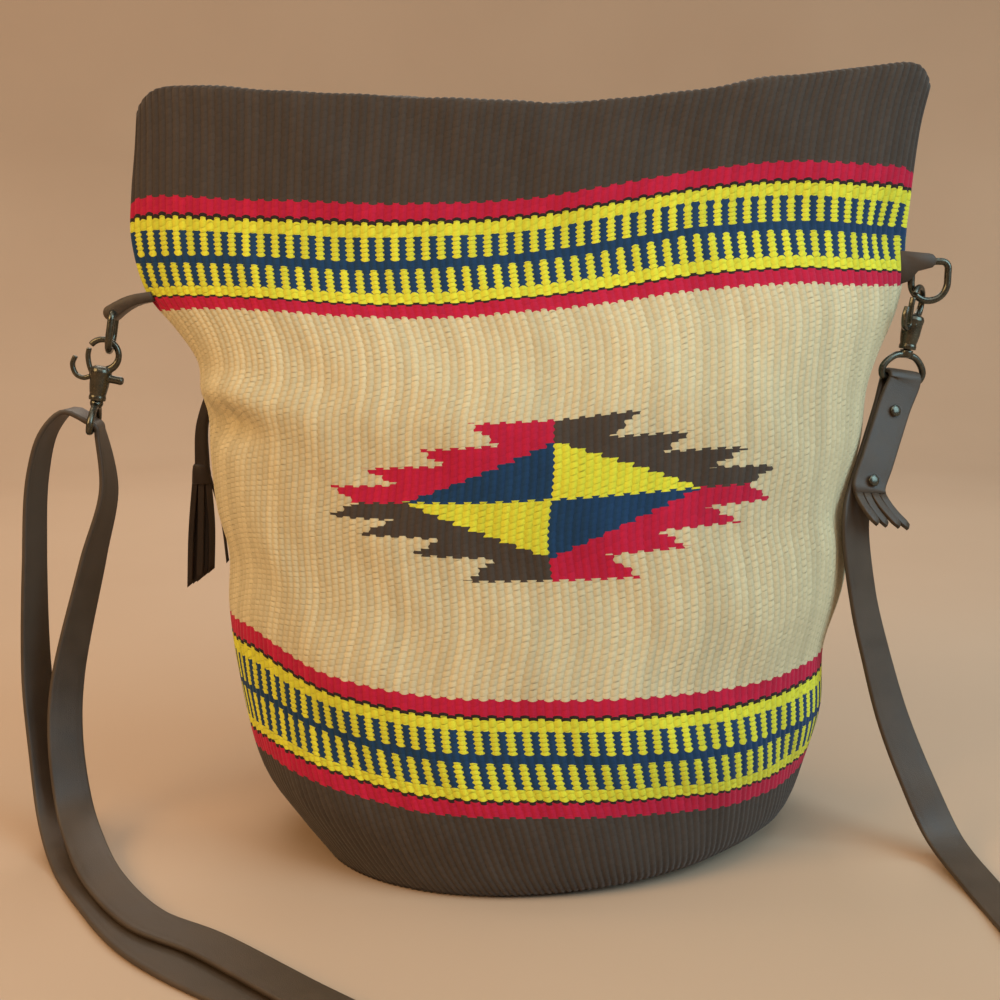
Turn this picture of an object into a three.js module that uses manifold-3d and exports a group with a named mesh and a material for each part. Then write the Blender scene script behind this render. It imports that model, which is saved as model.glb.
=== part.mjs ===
// A hand-woven bucket purse: a wool panel sewn into a tube on an oval base, with a wide flat
// mouth, a doubled leather strap on two swivel clasps, and a leather tassel at the back.
// Millimetres, +Z up. The origin is the middle of the base's underside; the front faces -Y.

import * as THREE from 'three';
import { mergeVertices } from 'three/addons/utils/BufferGeometryUtils.js';
import Module from 'manifold-3d';

const wasm = await Module();
wasm.setup();

// Driving dimensions
const GAP = 0.3;
const CLOTH = 2.8;
const SEAM_EXTRA = 3.2;
const WALL_COLUMNS = 52;
const WALL_ROWS = 22;
const BASE_INSET = 2.3;
const BASE_THICK = 2.6;
const STRAP_WIDTH = 16;
const STRAP_THICK = 2.4;
const STRAP_STEP = 16;
const RING_WIRE = 1.5;
const RING_WIDTH = 15.6;
const RING_DEPTH = 16.6;
const RING_CORNER = 3;
const HOOK_RADIUS = 6.65;
const HOOK_WIRE = 1.35;
const EYE_DROP = 33;
const EYE_WIRE = 1.5;
const EYE_HALF_WIDTH = 10.2;

// The tube's sections from the base seam up to the rim: height, half widths on either side,
// half depth, how sharply each side is pinched to an edge (1 is a plain oval), and how far the
// foot is swung round on the floor, in degrees.
const SECTIONS = [
  { z: 0.3, left: 92.5, right: 103, depth: 83, pinchLeft: 1, pinchRight: 1, swing: 11 },
  { z: 4, left: 97, right: 110, depth: 88, pinchLeft: 1, pinchRight: 1, swing: 8 },
  { z: 12, left: 106, right: 117.5, depth: 90, pinchLeft: 1, pinchRight: 1, swing: 5 },
  { z: 30, left: 120.5, right: 124, depth: 90, pinchLeft: 1, pinchRight: 1, swing: 4 },
  { z: 55, left: 130.5, right: 128, depth: 87, pinchLeft: 1, pinchRight: 1, swing: 0 },
  { z: 80, left: 135, right: 128.5, depth: 82, pinchLeft: 1, pinchRight: 1, swing: 0 },
  { z: 105, left: 134.5, right: 136, depth: 75, pinchLeft: 1, pinchRight: 1, swing: 0 },
  { z: 125, left: 139, right: 138, depth: 70, pinchLeft: 1, pinchRight: 1, swing: 0 },
  { z: 140, left: 140.5, right: 136, depth: 68.5, pinchLeft: 1, pinchRight: 1, swing: 0 },
  { z: 165, left: 142, right: 141.5, depth: 65, pinchLeft: 1, pinchRight: 1, swing: 0 },
  { z: 185, left: 144, right: 143, depth: 61, pinchLeft: 1.05, pinchRight: 1, swing: 0 },
  { z: 200, left: 146, right: 148, depth: 54, pinchLeft: 1.15, pinchRight: 1.05, swing: 0 },
  { z: 215, left: 154.5, right: 154.5, depth: 45, pinchLeft: 1.3, pinchRight: 1.1, swing: 0 },
  { z: 232, left: 167, right: 158, depth: 35, pinchLeft: 1.5, pinchRight: 1.2, swing: 0 },
  { z: 255, left: 173, right: 159, depth: 27, pinchLeft: 1.6, pinchRight: 1.25, swing: 0 },
  { z: 275, left: 172, right: 160, depth: 24, pinchLeft: 1.6, pinchRight: 1.25, swing: 0 },
  { z: 295, left: 169.5, right: 162, depth: 22, pinchLeft: 1.6, pinchRight: 1.25, swing: 0 },
  { z: 310, left: 168, right: 165, depth: 21, pinchLeft: 1.6, pinchRight: 1.25, swing: 0 },
];

// How far the slack cloth rises (+) or sags (-) at the rim, the upper stripes and the lower
// stripes, by degrees around from the front's middle (left is -, right is +).
const SAG = [
  { around: -90, rim: -2, upper: 2, lower: 20 },
  { around: -73, rim: 7.5, upper: 1.8, lower: 18.5 },
  { around: -60, rim: 8.5, upper: 1.5, lower: 17 },
  { around: -40, rim: 5.5, upper: -0.5, lower: 6 },
  { around: -20, rim: 3, upper: -2.5, lower: 1 },
  { around: 0, rim: 0, upper: 0.5, lower: 0 },
  { around: 20, rim: 4, upper: 7.5, lower: 0 },
  { around: 40, rim: 11.5, upper: 13, lower: 0 },
  { around: 60, rim: 16.5, upper: 13, lower: 2 },
  { around: 75, rim: 17.5, upper: 12.5, lower: 3 },
  { around: 90, rim: 9, upper: 12, lower: 4 },
];
const LOWER_STRIPES_Z = 80;
const UPPER_STRIPES_Z = 250;

// Dents (+ is inwards) and ridges (-) pressed into the cloth: degrees around, height on the
// panel, how far each reaches, and its depth.
const FOLDS = [
  { around: -68, z: 172, reachAround: 13, reachUp: 9, depth: 7 },
  { around: -64, z: 186, reachAround: 18, reachUp: 8, depth: -3 },
  { around: -40, z: 158, reachAround: 20, reachUp: 26, depth: 3 },
  { around: 72, z: 246, reachAround: 12, reachUp: 14, depth: 3.5 },
  { around: 35, z: 120, reachAround: 26, reachUp: 34, depth: -2.5 },
];

// Colours
const WOOL_CREAM = 0xc9b48c;
const WOOL_BROWN = 0x463a2e;
const LEATHER = 0x463a32;
const TASSEL_LEATHER = 0x2d1e14;
const BRONZE = 0x2d2d26;

const LEATHER_LOOK = { color: LEATHER, roughness: 0.5, metalness: 0 };
const METAL_LOOK = { color: BRONZE, roughness: 0.35, metalness: 0.9 };

const purse = new THREE.Group();

function addPiece(parent, name, geometry, look) {
  const mesh = new THREE.Mesh(geometry, new THREE.MeshStandardMaterial(look));
  mesh.name = name;
  parent.add(mesh);
  return mesh;
}

// Solids

// A bare closed mesh: only positions, corners shared, faces pointing out.
function closedMesh(geometry) {
  const bare = geometry.index ? geometry.clone() : mergeVertices(geometry);
  bare.deleteAttribute('normal');
  bare.deleteAttribute('uv');
  const merged = mergeVertices(bare, 1e-4);
  const corner = [new THREE.Vector3(), new THREE.Vector3(), new THREE.Vector3()];
  const source = merged.index.array;
  const faces = [];
  let volume = 0;
  for (let i = 0; i < source.length; i += 3) {
    const [a, b, c] = [source[i], source[i + 1], source[i + 2]];
    if (a === b || b === c || a === c) continue;
    faces.push(a, b, c);
    [a, b, c].forEach((v, k) => corner[k].fromBufferAttribute(merged.attributes.position, v));
    volume += corner[0].dot(corner[1].clone().cross(corner[2]));
  }
  if (volume < 0) {
    for (let i = 0; i < faces.length; i += 3) {
      [faces[i + 1], faces[i + 2]] = [faces[i + 2], faces[i + 1]];
    }
  }
  merged.setIndex(faces);
  return merged;
}

function toManifold(geometry) {
  const mesh = closedMesh(geometry);
  return new wasm.Manifold(new wasm.Mesh({
    numProp: 3,
    vertProperties: new Float32Array(mesh.attributes.position.array),
    triVerts: new Uint32Array(mesh.index.array),
  }));
}

function toGeometry(manifold) {
  const mesh = manifold.getMesh();
  const geometry = new THREE.BufferGeometry();
  geometry.setAttribute('position', new THREE.BufferAttribute(new Float32Array(mesh.vertProperties), 3));
  geometry.setIndex(Array.from(mesh.triVerts));
  return geometry;
}

const union = (first, ...others) => toGeometry(others.reduce(
  (sum, other) => sum.add(toManifold(other)), toManifold(first)));

const cut = (first, ...others) => toGeometry(others.reduce(
  (rest, other) => rest.subtract(toManifold(other)), toManifold(first)));

// A skin over rings of points, joined ring to ring; the last ring joins the first again, or
// both ends are capped.
function loft(rings, rejoin = false) {
  const count = rings[0].length;
  const corners = rings.flat().flatMap((p) => [p.x, p.y, p.z]);
  const faces = [];
  const steps = rejoin ? rings.length : rings.length - 1;
  for (let i = 0; i < steps; i += 1) {
    const here = i * count;
    const next = ((i + 1) % rings.length) * count;
    for (let k = 0; k < count; k += 1) {
      const k2 = (k + 1) % count;
      faces.push(here + k, here + k2, next + k2, here + k, next + k2, next + k);
    }
  }
  if (!rejoin) {
    const last = (rings.length - 1) * count;
    for (let k = 1; k < count - 1; k += 1) {
      faces.push(0, k + 1, k, last, last + k, last + k + 1);
    }
  }
  const geometry = new THREE.BufferGeometry();
  geometry.setAttribute('position', new THREE.Float32BufferAttribute(corners, 3));
  geometry.setIndex(faces);
  return closedMesh(geometry);
}

const circle = (radius, sides) => new THREE.Shape(
  Array.from({ length: sides }, (_, i) => new THREE.Vector2(
    radius * Math.cos((2 * Math.PI * i) / sides), radius * Math.sin((2 * Math.PI * i) / sides))));

const rod = (path, radius, steps, sides = 8) => new THREE.ExtrudeGeometry(
  circle(radius, sides), { steps, extrudePath: path, bevelEnabled: false });

const wireLoop = (points, radius, steps, sides = 8) => closedMesh(new THREE.TubeGeometry(
  new THREE.CatmullRomCurve3(points, true, 'catmullrom', 0.5), steps, radius, sides, true));

// A turned solid about Z from [radius, height] pairs that start and end on the axis.
const turned = (profile, sides) => new THREE.LatheGeometry(
  profile.map(([r, z]) => new THREE.Vector2(r, z)), sides).rotateX(Math.PI / 2);

// A flat outline in X and Z, with a thickness along Y.
const plateXZ = (points, thick) => new THREE.ExtrudeGeometry(
  new THREE.Shape(points.map(([x, z]) => new THREE.Vector2(x, z))), { depth: thick, bevelEnabled: false })
  .translate(0, 0, -thick / 2).rotateX(Math.PI / 2);

// A smooth curve through a table's rows.
function smoothColumn(knots, values, at) {
  let i = 0;
  while (i < knots.length - 2 && at > knots[i + 1]) i += 1;
  const slope = (k) => {
    const lo = Math.max(k - 1, 0);
    const hi = Math.min(k + 1, knots.length - 1);
    return (values[hi] - values[lo]) / (knots[hi] - knots[lo]);
  };
  const span = knots[i + 1] - knots[i];
  const t = (at - knots[i]) / span;
  return (1 + 2 * t) * (1 - t) ** 2 * values[i] + t * (1 - t) ** 2 * span * slope(i)
    + t * t * (3 - 2 * t) * values[i + 1] + t * t * (t - 1) * span * slope(i + 1);
}

const column = (table, name) => table.map((row) => row[name]);
const smoothstep = (t) => t * t * (3 - 2 * t);
const clamp01 = (t) => Math.min(Math.max(t, 0), 1);

// The woven body

// Panel length from the base seam to each section, measured up the middle of the front.
const ALONG = SECTIONS.reduce((sums, row, i) => {
  const last = SECTIONS[i - 1];
  return i ? [...sums, sums[i - 1] + Math.hypot(row.z - last.z, row.depth - last.depth)] : [0];
}, []);
const PANEL_LENGTH = ALONG[ALONG.length - 1];

const sectionAt = (along) => Object.fromEntries(
  Object.keys(SECTIONS[0]).map((name) => [name, smoothColumn(ALONG, column(SECTIONS, name), along)]));
const alongAt = (z) => smoothColumn(column(SECTIONS, 'z'), ALONG, z);

// The cloth's rise at a place: the lower stripes' sag fades in from the base and gives way to
// the upper stripes' and then the rim's.
function sagAt(degrees, along) {
  const fromFront = Math.abs(degrees) > 90 ? Math.sign(degrees) * (180 - Math.abs(degrees)) : degrees;
  const at = (name) => smoothColumn(column(SAG, 'around'), column(SAG, name), fromFront);
  const low = alongAt(LOWER_STRIPES_Z);
  const high = alongAt(UPPER_STRIPES_Z);
  const fromBase = clamp01(along / low);
  const toUpper = smoothstep(clamp01((along - low) / (high - low)));
  const toRim = clamp01((along - high) / (PANEL_LENGTH - high));
  return at('lower') * fromBase ** 2 * (1 - toUpper)
    + (at('upper') * (1 - toRim) + at('rim') * toRim) * toUpper;
}

const foldDepth = (degrees, along) => FOLDS.reduce((sum, fold) => sum + fold.depth * Math.exp(
  -(((degrees - fold.around) / fold.reachAround) ** 2)
  - (((along - alongAt(fold.z)) / fold.reachUp) ** 2)), 0);

// A point of the body, by degrees around from the front's middle and panel length from the
// base seam; inset 0 is the outside and CLOTH the inside.
function bodyPoint(degrees, along, inset = 0) {
  const row = sectionAt(along);
  const step = 0.5;
  const below = sectionAt(Math.max(along - step, 0));
  const above = sectionAt(Math.min(along + step, PANEL_LENGTH));
  const run = new THREE.Vector2(above.depth - below.depth, above.z - below.z).normalize();
  const angle = THREE.MathUtils.degToRad(degrees);
  const pinch = Math.sin(angle) < 0 ? row.pinchLeft : row.pinchRight;
  const thickEnd = inset * (1 + (SEAM_EXTRA / CLOTH) * (pinch - 1) / 0.6);
  const halfWidth = (row.left + row.right) / 2 - thickEnd * run.y;
  const halfDepth = row.depth - inset * run.y;
  const across = Math.cos(angle);
  const x = (row.right - row.left) / 2 + halfWidth * Math.sin(angle);
  const y = -halfDepth * Math.sign(across) * Math.abs(across) ** pinch;
  const outward = new THREE.Vector2(Math.sin(angle), -across);
  const dent = foldDepth(degrees, along);
  const swung = x * Math.tan(THREE.MathUtils.degToRad(row.swing));
  return new THREE.Vector3(
    x - dent * outward.x, y + swung - dent * outward.y, row.z + inset * run.x + sagAt(degrees, along));
}

// Rows lie closer together in the turn at the base.
const wallRow = (i) => PANEL_LENGTH * (i / WALL_ROWS) ** 1.25;
const wallRing = (along, inset) => Array.from(
  { length: WALL_COLUMNS }, (_, k) => bodyPoint((360 * k) / WALL_COLUMNS - 180, along, inset));
const wallRows = Array.from({ length: WALL_ROWS + 1 }, (_, i) => wallRow(i));

addPiece(purse, 'body_panel', loft([
  ...wallRows.map((along) => wallRing(along, 0)),
  ...wallRows.toReversed().map((along) => wallRing(along, CLOTH)),
], true), { color: WOOL_CREAM, roughness: 0.9, metalness: 0 });

// The oval base fills the ring that the tube leaves on the floor.
const [foot] = SECTIONS;
const baseOval = new THREE.Shape().absellipse((foot.right - foot.left) / 2, 0,
  (foot.left + foot.right) / 2 - BASE_INSET, foot.depth - BASE_INSET, 0, 2 * Math.PI);
const footSwing = new THREE.Matrix4().makeShear(
  Math.tan(THREE.MathUtils.degToRad(foot.swing)), 0, 0, 0, 0, 0);
addPiece(purse, 'base_panel', closedMesh(new THREE.ExtrudeGeometry(
  baseOval, { depth: BASE_THICK, bevelEnabled: false, curveSegments: 24 }).applyMatrix4(footSwing)),
{ color: WOOL_BROWN, roughness: 0.9, metalness: 0 });

// The side tabs and D-rings

// A D-ring about its straight bar: the bar lies along X at the origin and the bow hangs in -Z.
function dRing(wire) {
  const half = RING_WIDTH / 2;
  const bowZ = -(RING_DEPTH - half);
  const bow = Array.from({ length: 9 }, (_, i) => {
    const turn = (Math.PI * i) / 8;
    return new THREE.Vector3(half * Math.cos(turn), 0, bowZ - half * Math.sin(turn));
  });
  const corner = (side) => [15, 45, 75].map((turn) => new THREE.Vector3(
    side * (half - RING_CORNER * (1 - Math.sin(THREE.MathUtils.degToRad(turn)))), 0,
    -RING_CORNER * (1 - Math.cos(THREE.MathUtils.degToRad(turn)))));
  return wireLoop([
    ...corner(-1).toReversed(),
    new THREE.Vector3(0, 0, 0),
    ...corner(1),
    ...bow,
  ], wire, 30);
}

// Each side: where its tab's ring bar lies, how the ring is turned about Z and swung on its
// bar, where on the bow the hook hangs (degrees from its lowest point), how the clasp leans,
// and how the hook and the eye are turned on the clasp's axis.
const SIDES = {
  left: { bar: new THREE.Vector3(-181.7, 0.5, 226.7), ringTurn: 100, ringLean: 10, bowAt: 0,
    lean: 11, hookTurn: 0, eyeTurn: 98 },
  right: { bar: new THREE.Vector3(169.2, 0, 248.4), ringTurn: 0, ringLean: 0, bowAt: -30,
    lean: 9, hookTurn: 55, eyeTurn: 18 },
};

// The left tab is a strap of leather edge-on to the front, from the side seam to a loop round
// the bar; the right one is a wedge of leather, seen flat.
const leftSeam = bodyPoint(-90, alongAt(230));
const LEFT_TAB = { width: 10, rootHalf: 2, loopHalf: 3.2 };
const RIGHT_TAB = { thick: 6.2, top: 6 };

function leftTab() {
  const root = new THREE.Vector2(leftSeam.x, leftSeam.z);
  const bar = new THREE.Vector2(SIDES.left.bar.x, SIDES.left.bar.z);
  const run = bar.clone().sub(root).normalize();
  const side = new THREE.Vector2(-run.y, run.x);
  const start = root.clone().addScaledVector(run, GAP);
  const loop = Array.from({ length: 9 }, (_, i) => {
    const turn = (Math.PI * i) / 8;
    return bar.clone().addScaledVector(side, -LEFT_TAB.loopHalf * Math.cos(turn))
      .addScaledVector(run, LEFT_TAB.loopHalf * Math.sin(turn));
  });
  const outline = [
    start.clone().addScaledVector(side, LEFT_TAB.rootHalf).addScaledVector(run, 1.4),
    start,
    start.clone().addScaledVector(side, -LEFT_TAB.rootHalf).addScaledVector(run, 1.4),
    ...loop,
  ];
  return plateXZ(outline.map((p) => [p.x, p.y]), LEFT_TAB.width);
}

function rightTab() {
  const { bar } = SIDES.right;
  const edge = (z) => bodyPoint(90, alongAt(z - sagAt(90, alongAt(z)))).x + GAP;
  const high = bar.z + 4.6;
  const low = bar.z - 9;
  return plateXZ([
    [edge(high) + 0.2, high],
    [edge(bar.z) + 0.4, bar.z],
    [edge(low) + 0.2, low],
    [bar.x - RIGHT_TAB.top, bar.z - 4],
    [bar.x + 1, bar.z - 2.9],
    [bar.x + 1.6, bar.z + 3],
  ], RIGHT_TAB.thick);
}

// The clasps

// The hook and its barrel, about the clasp's axis: the hook's bend is centred on the origin,
// the lever closes its -X side, and a chamber in the barrel holds the eye's headed post.
const BARREL = { top: -5.4, waist: -13.5, bottom: -20, topRadius: 4.7, radius: 4.4, foot: 3.6 };
const POST = { radius: 1.4, head: 2.4, chamberTop: -14.2, chamberBottom: -18.2 };
const LEVER = { pivotX: -3, pivotZ: -9.5, pin: 0.9, width: 2.4, thick: 2, slot: 3 };
const HOOK_TIP = 150;

function hookSolid() {
  const bend = new THREE.CatmullRomCurve3(Array.from({ length: 13 }, (_, i) => {
    const turn = THREE.MathUtils.degToRad(-62 + ((HOOK_TIP + 62) * i) / 12);
    return new THREE.Vector3(HOOK_RADIUS * Math.cos(turn), 0, HOOK_RADIUS * Math.sin(turn));
  }));
  const barrel = turned([
    [0, BARREL.top], [BARREL.topRadius - 1.4, BARREL.top], [BARREL.topRadius, BARREL.top - 1.6],
    [BARREL.radius, BARREL.waist], [BARREL.foot, BARREL.bottom],
    [POST.radius + GAP, BARREL.bottom], [POST.radius + GAP, POST.chamberBottom],
    [POST.head + GAP, POST.chamberBottom], [POST.head + GAP, POST.chamberTop], [0, POST.chamberTop],
  ], 14);
  const fingerRest = new THREE.CylinderGeometry(1.9, 1.9, 8.6, 10)
    .rotateZ(Math.PI / 2).translate(6, 0, -9.8);
  const slotSize = { x: 6, z: 8.4 };
  const slot = new THREE.BoxGeometry(slotSize.x, LEVER.slot, slotSize.z)
    .translate(LEVER.pivotX + 2.1 - slotSize.x / 2, 0, LEVER.pivotZ + 1.6);
  const pinHole = new THREE.CylinderGeometry(LEVER.pin + GAP, LEVER.pin + GAP, 12, 10)
    .translate(LEVER.pivotX, 0, LEVER.pivotZ);
  return cut(union(barrel, rod(bend, HOOK_WIRE, 14), fingerRest), slot, pinHole);
}

// The lever: a bar from its pin up to the hook's tip, and a thumb tab curled outwards.
function leverSolid() {
  const strip = (points, steps) => new THREE.ExtrudeGeometry(
    new THREE.Shape([[-1, -1], [1, -1], [1, 1], [-1, 1]].map(
      ([u, v]) => new THREE.Vector2((u * LEVER.thick) / 2, (v * LEVER.width) / 2))),
    { steps, bevelEnabled: false, extrudePath: new THREE.CatmullRomCurve3(
      points.map(([x, z]) => new THREE.Vector3(x, 0, z))) });
  const tip = THREE.MathUtils.degToRad(HOOK_TIP + 14);
  const bar = strip([
    [LEVER.pivotX, LEVER.pivotZ - 0.6], [-5.4, -5.5], [-6.5, -1.5],
    [HOOK_RADIUS * Math.cos(tip), HOOK_RADIUS * Math.sin(tip)],
  ], 8);
  const thumb = strip([
    [LEVER.pivotX - 0.4, LEVER.pivotZ - 0.2], [-7, -11.4], [-10.6, -10.4], [-12.6, -6.4], [-11.8, -2.6],
  ], 10);
  const pin = new THREE.CylinderGeometry(LEVER.pin, LEVER.pin, 6, 10).translate(LEVER.pivotX, 0, LEVER.pivotZ);
  const hub = new THREE.CylinderGeometry(1.7, 1.7, LEVER.width, 12).translate(LEVER.pivotX, 0, LEVER.pivotZ);
  return union(hub, bar, thumb, pin);
}

// The strap eye: a stirrup of wire on a headed post that turns in the barrel.
function eyeSolid() {
  const w = EYE_HALF_WIDTH;
  const half = [[0, -22.3], [4.6, -23], [8, -25.4], [w, -28.6], [w, -EYE_DROP + 1.9], [w - 1.4, -EYE_DROP]];
  const right = half.map(([x, z]) => new THREE.Vector3(x, 0, z));
  const left = half.slice(1).toReversed().map(([x, z]) => new THREE.Vector3(-x, 0, z));
  const stirrup = wireLoop([...right, new THREE.Vector3(0, 0, -EYE_DROP), ...left], EYE_WIRE, 28);
  const post = turned([
    [0, POST.chamberTop - 0.6], [POST.head, POST.chamberTop - 0.6], [POST.head, POST.chamberBottom + GAP],
    [POST.radius, POST.chamberBottom + GAP], [POST.radius, BARREL.bottom - GAP],
    [2.7, BARREL.bottom - GAP], [2.9, -21.6], [2, -23.6], [0, -23.8],
  ], 12);
  return union(stirrup, post);
}

// A D-ring's bow hangs in the hook, a little off its axis and clear of the lever.
const BOW_IN_HOOK = new THREE.Vector3(2.25, 0, 2.2);

function claspGroup(ring, { bowAt, lean, hookTurn }) {
  const half = RING_WIDTH / 2;
  const turn = THREE.MathUtils.degToRad(bowAt);
  const bow = new THREE.Vector3(half * Math.sin(turn), 0, half - RING_DEPTH - half * Math.cos(turn));
  const clasp = new THREE.Group();
  clasp.rotation.y = THREE.MathUtils.degToRad(lean);
  const hang = BOW_IN_HOOK.clone()
    .applyAxisAngle(new THREE.Vector3(0, 0, 1), THREE.MathUtils.degToRad(hookTurn))
    .applyEuler(clasp.rotation);
  clasp.position.copy(bow.applyMatrix4(ring.matrixWorld)).sub(hang);
  return clasp;
}

const tabSolid = { left: leftTab, right: rightTab };
const eyeBar = {};
for (const [side, place] of Object.entries(SIDES)) {
  const ring = addPiece(purse, `${side}_d_ring`, dRing(RING_WIRE), METAL_LOOK);
  ring.position.copy(place.bar);
  ring.rotation.set(
    THREE.MathUtils.degToRad(place.ringLean), 0, THREE.MathUtils.degToRad(place.ringTurn), 'ZYX');
  ring.updateMatrixWorld();

  const channel = dRing(RING_WIRE + GAP).applyMatrix4(ring.matrixWorld);
  addPiece(purse, `${side}_tab`, cut(tabSolid[side](), channel), LEATHER_LOOK);

  const clasp = claspGroup(ring, place);
  purse.add(clasp);
  const hook = addPiece(clasp, `${side}_hook`, hookSolid(), METAL_LOOK);
  const lever = addPiece(clasp, `${side}_lever`, leverSolid(), METAL_LOOK);
  const eye = addPiece(clasp, `${side}_eye`, eyeSolid(), METAL_LOOK);
  hook.rotation.z = THREE.MathUtils.degToRad(place.hookTurn);
  lever.rotation.z = hook.rotation.z;
  eye.rotation.z = THREE.MathUtils.degToRad(place.eyeTurn);
  clasp.updateMatrixWorld(true);
  eyeBar[side] = {
    middle: new THREE.Vector3(0, 0, -EYE_DROP).applyMatrix4(eye.matrixWorld),
    across: new THREE.Vector3(1, 0, 0).transformDirection(eye.matrixWorld),
  };
}

// The strap

// The strap's centre line, from the doubled end in the slider: up to the left eye, over its
// bar, down again and round in front on the floor to the right eye. Across is the heading of
// its width in degrees from +X.
const FLOOR_Z = STRAP_THICK / 2 + GAP;
const ON_TOP_Z = FLOOR_Z + STRAP_THICK + 0.6;
const SLIDER = { x: -22, y: -206, heading: -31, wall: 1.8, length: 10 };
const SLIDER_Z = GAP + SLIDER.wall + GAP + STRAP_THICK / 2;
const DOUBLED_RUN = [
  { x: -8, y: -214.4, z: SLIDER_Z + STRAP_THICK + GAP, across: 59 },
  { x: -36, y: -197.6, z: SLIDER_Z + STRAP_THICK + GAP, across: 59 },
  { x: -76, y: -166, z: ON_TOP_Z + 0.6, across: 54 },
  { x: -121, y: -128, z: ON_TOP_Z, across: 42 },
  { x: -147, y: -111, z: ON_TOP_Z, across: 42 },
  { x: -172.5, y: -80, z: ON_TOP_Z + 0.6, across: 36 },
  { x: -188.5, y: -53, z: 8, across: 37 },
  { x: -199, y: -35, z: 18, across: 41 },
  { x: -204.5, y: -25, z: 43, across: 47 },
  { x: -205, y: -17, z: 67, across: 51 },
  { x: -194.5, y: -6, z: 119, across: 66 },
  { x: -187.5, y: -1, z: 150, across: 82 },
];
const OUTER_RUN = [
  { x: -212, y: -1, z: 176, across: 82 },
  { x: -218.5, y: -1, z: 156, across: 77 },
  { x: -221, y: -4, z: 119, across: 74 },
  { x: -221, y: -10, z: 68, across: 62 },
  { x: -216, y: -19, z: 40, across: 55 },
  { x: -208, y: -33, z: 13, across: 46 },
  { x: -193.5, y: -58, z: FLOOR_Z + 0.4, across: 37 },
  { x: -174, y: -88, z: FLOOR_Z, across: 38 },
  { x: -144.5, y: -125.5, z: FLOOR_Z, across: 45 },
  { x: -99.5, y: -159.5, z: FLOOR_Z, across: 56 },
  { x: -40, y: -195, z: SLIDER_Z + 0.1, across: 59 },
];
const FRONT_RUN = [
  { x: -4, y: -217, z: SLIDER_Z + 0.1, across: 60 },
  { x: 42, y: -240, z: FLOOR_Z, across: 70 },
  { x: 100, y: -250, z: FLOOR_Z, across: 92 },
  { x: 150, y: -230, z: FLOOR_Z, across: 130 },
  { x: 175, y: -182, z: FLOOR_Z, across: 166 },
  { x: 178.5, y: -120, z: FLOOR_Z, across: 180 },
  { x: 177, y: -80, z: FLOOR_Z + 0.3, across: 184 },
  { x: 171.5, y: -50, z: 9, across: 190 },
  { x: 161.5, y: -40, z: 32, across: 196 },
  { x: 152.5, y: -34, z: 56, across: 202 },
  { x: 145.5, y: -30, z: 81, across: 210 },
  { x: 139, y: -27.5, z: 108, across: 215 },
  { x: 135.6, y: -26.5, z: 142, across: 214 },
];

const vec = ({ x, y, z }) => new THREE.Vector3(x, y, z);
const heading = (degrees) => new THREE.Vector3(
  Math.cos(THREE.MathUtils.degToRad(degrees)), Math.sin(THREE.MathUtils.degToRad(degrees)), 0);
const asStations = (rows) => rows.map((row) => ({ at: vec(row), across: heading(row.across) }));

// Stations that take the strap over an eye's bar, from the side of `start` to the other side.
function overBar({ middle, across }, start, span, count) {
  const reach = EYE_WIRE + GAP + STRAP_THICK / 2;
  const up = new THREE.Vector3(0, 0, 1).addScaledVector(across, -across.z).normalize();
  const out = start.clone().addScaledVector(across, -start.dot(across))
    .addScaledVector(up, -start.dot(up)).normalize();
  return Array.from({ length: count }, (_, i) => {
    const turn = THREE.MathUtils.degToRad(span[0] + ((span[1] - span[0]) * i) / (count - 1));
    const at = middle.clone().addScaledVector(out, reach * Math.cos(turn))
      .addScaledVector(up, reach * Math.sin(turn));
    return { at, across: across.clone() };
  });
}

// At the right eye the strap goes up behind, over the bar and down in front of itself, where
// two rivets hold the tail; the tail's fringed end turns out to the right.
const rightEye = eyeBar.right;
const riseEnd = vec(FRONT_RUN[FRONT_RUN.length - 1]);
const rise = rightEye.middle.clone().sub(riseEnd);
const riseLength = rise.length();
rise.normalize();
const faceOut = rightEye.across.clone().cross(rise).normalize();
if (faceOut.y > 0) faceOut.negate();
const LAYER = STRAP_THICK + GAP;
const atRise = (below, outBy) => rightEye.middle.clone()
  .addScaledVector(rise, -below).addScaledVector(faceOut, outBy);
const strapAcross = rightEye.across.clone().multiplyScalar(-1);
const TAIL_TURN = [
  { below: 57.5, side: 2.2, out: 2 },
  { below: 63, side: 6.4, out: 4.2 },
  { below: 69, side: 12.8, out: 6.5 },
];
const rightFold = [
  { at: atRise(riseLength, -LAYER / 2), across: heading(FRONT_RUN[FRONT_RUN.length - 1].across) },
  ...[52, 40, 26].map((below) => ({ at: atRise(below, -LAYER / 2), across: strapAcross })),
  { at: atRise(12, -LAYER / 2 - 0.3), across: strapAcross },
  ...overBar(rightEye, faceOut.clone().negate(), [-12, 192], 9)
    .map(({ at }) => ({ at, across: strapAcross })),
  { at: atRise(12, LAYER / 2 + 0.3), across: strapAcross },
  ...[26, 40, 52].map((below) => ({ at: atRise(below, LAYER / 2), across: strapAcross })),
  ...TAIL_TURN.map(({ below, side, out }) => ({
    at: atRise(below, LAYER / 2 + out).addScaledVector(rightEye.across, side),
    across: strapAcross,
  })),
];

const leftEye = eyeBar.left;
const strapStations = [
  ...asStations(DOUBLED_RUN),
  ...overBar(leftEye, new THREE.Vector3(1, 0, 0), [-8, 75], 5)
    .map(({ at, across }) => ({ at, across: across.y > 0 ? across : across.clone().negate() })),
  { at: leftEye.middle.clone().add(new THREE.Vector3(-9.5, 0, 8.2)), across: heading(86) },
  ...asStations(OUTER_RUN),
  ...asStations(FRONT_RUN).slice(0, -1),
  ...rightFold,
];

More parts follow.
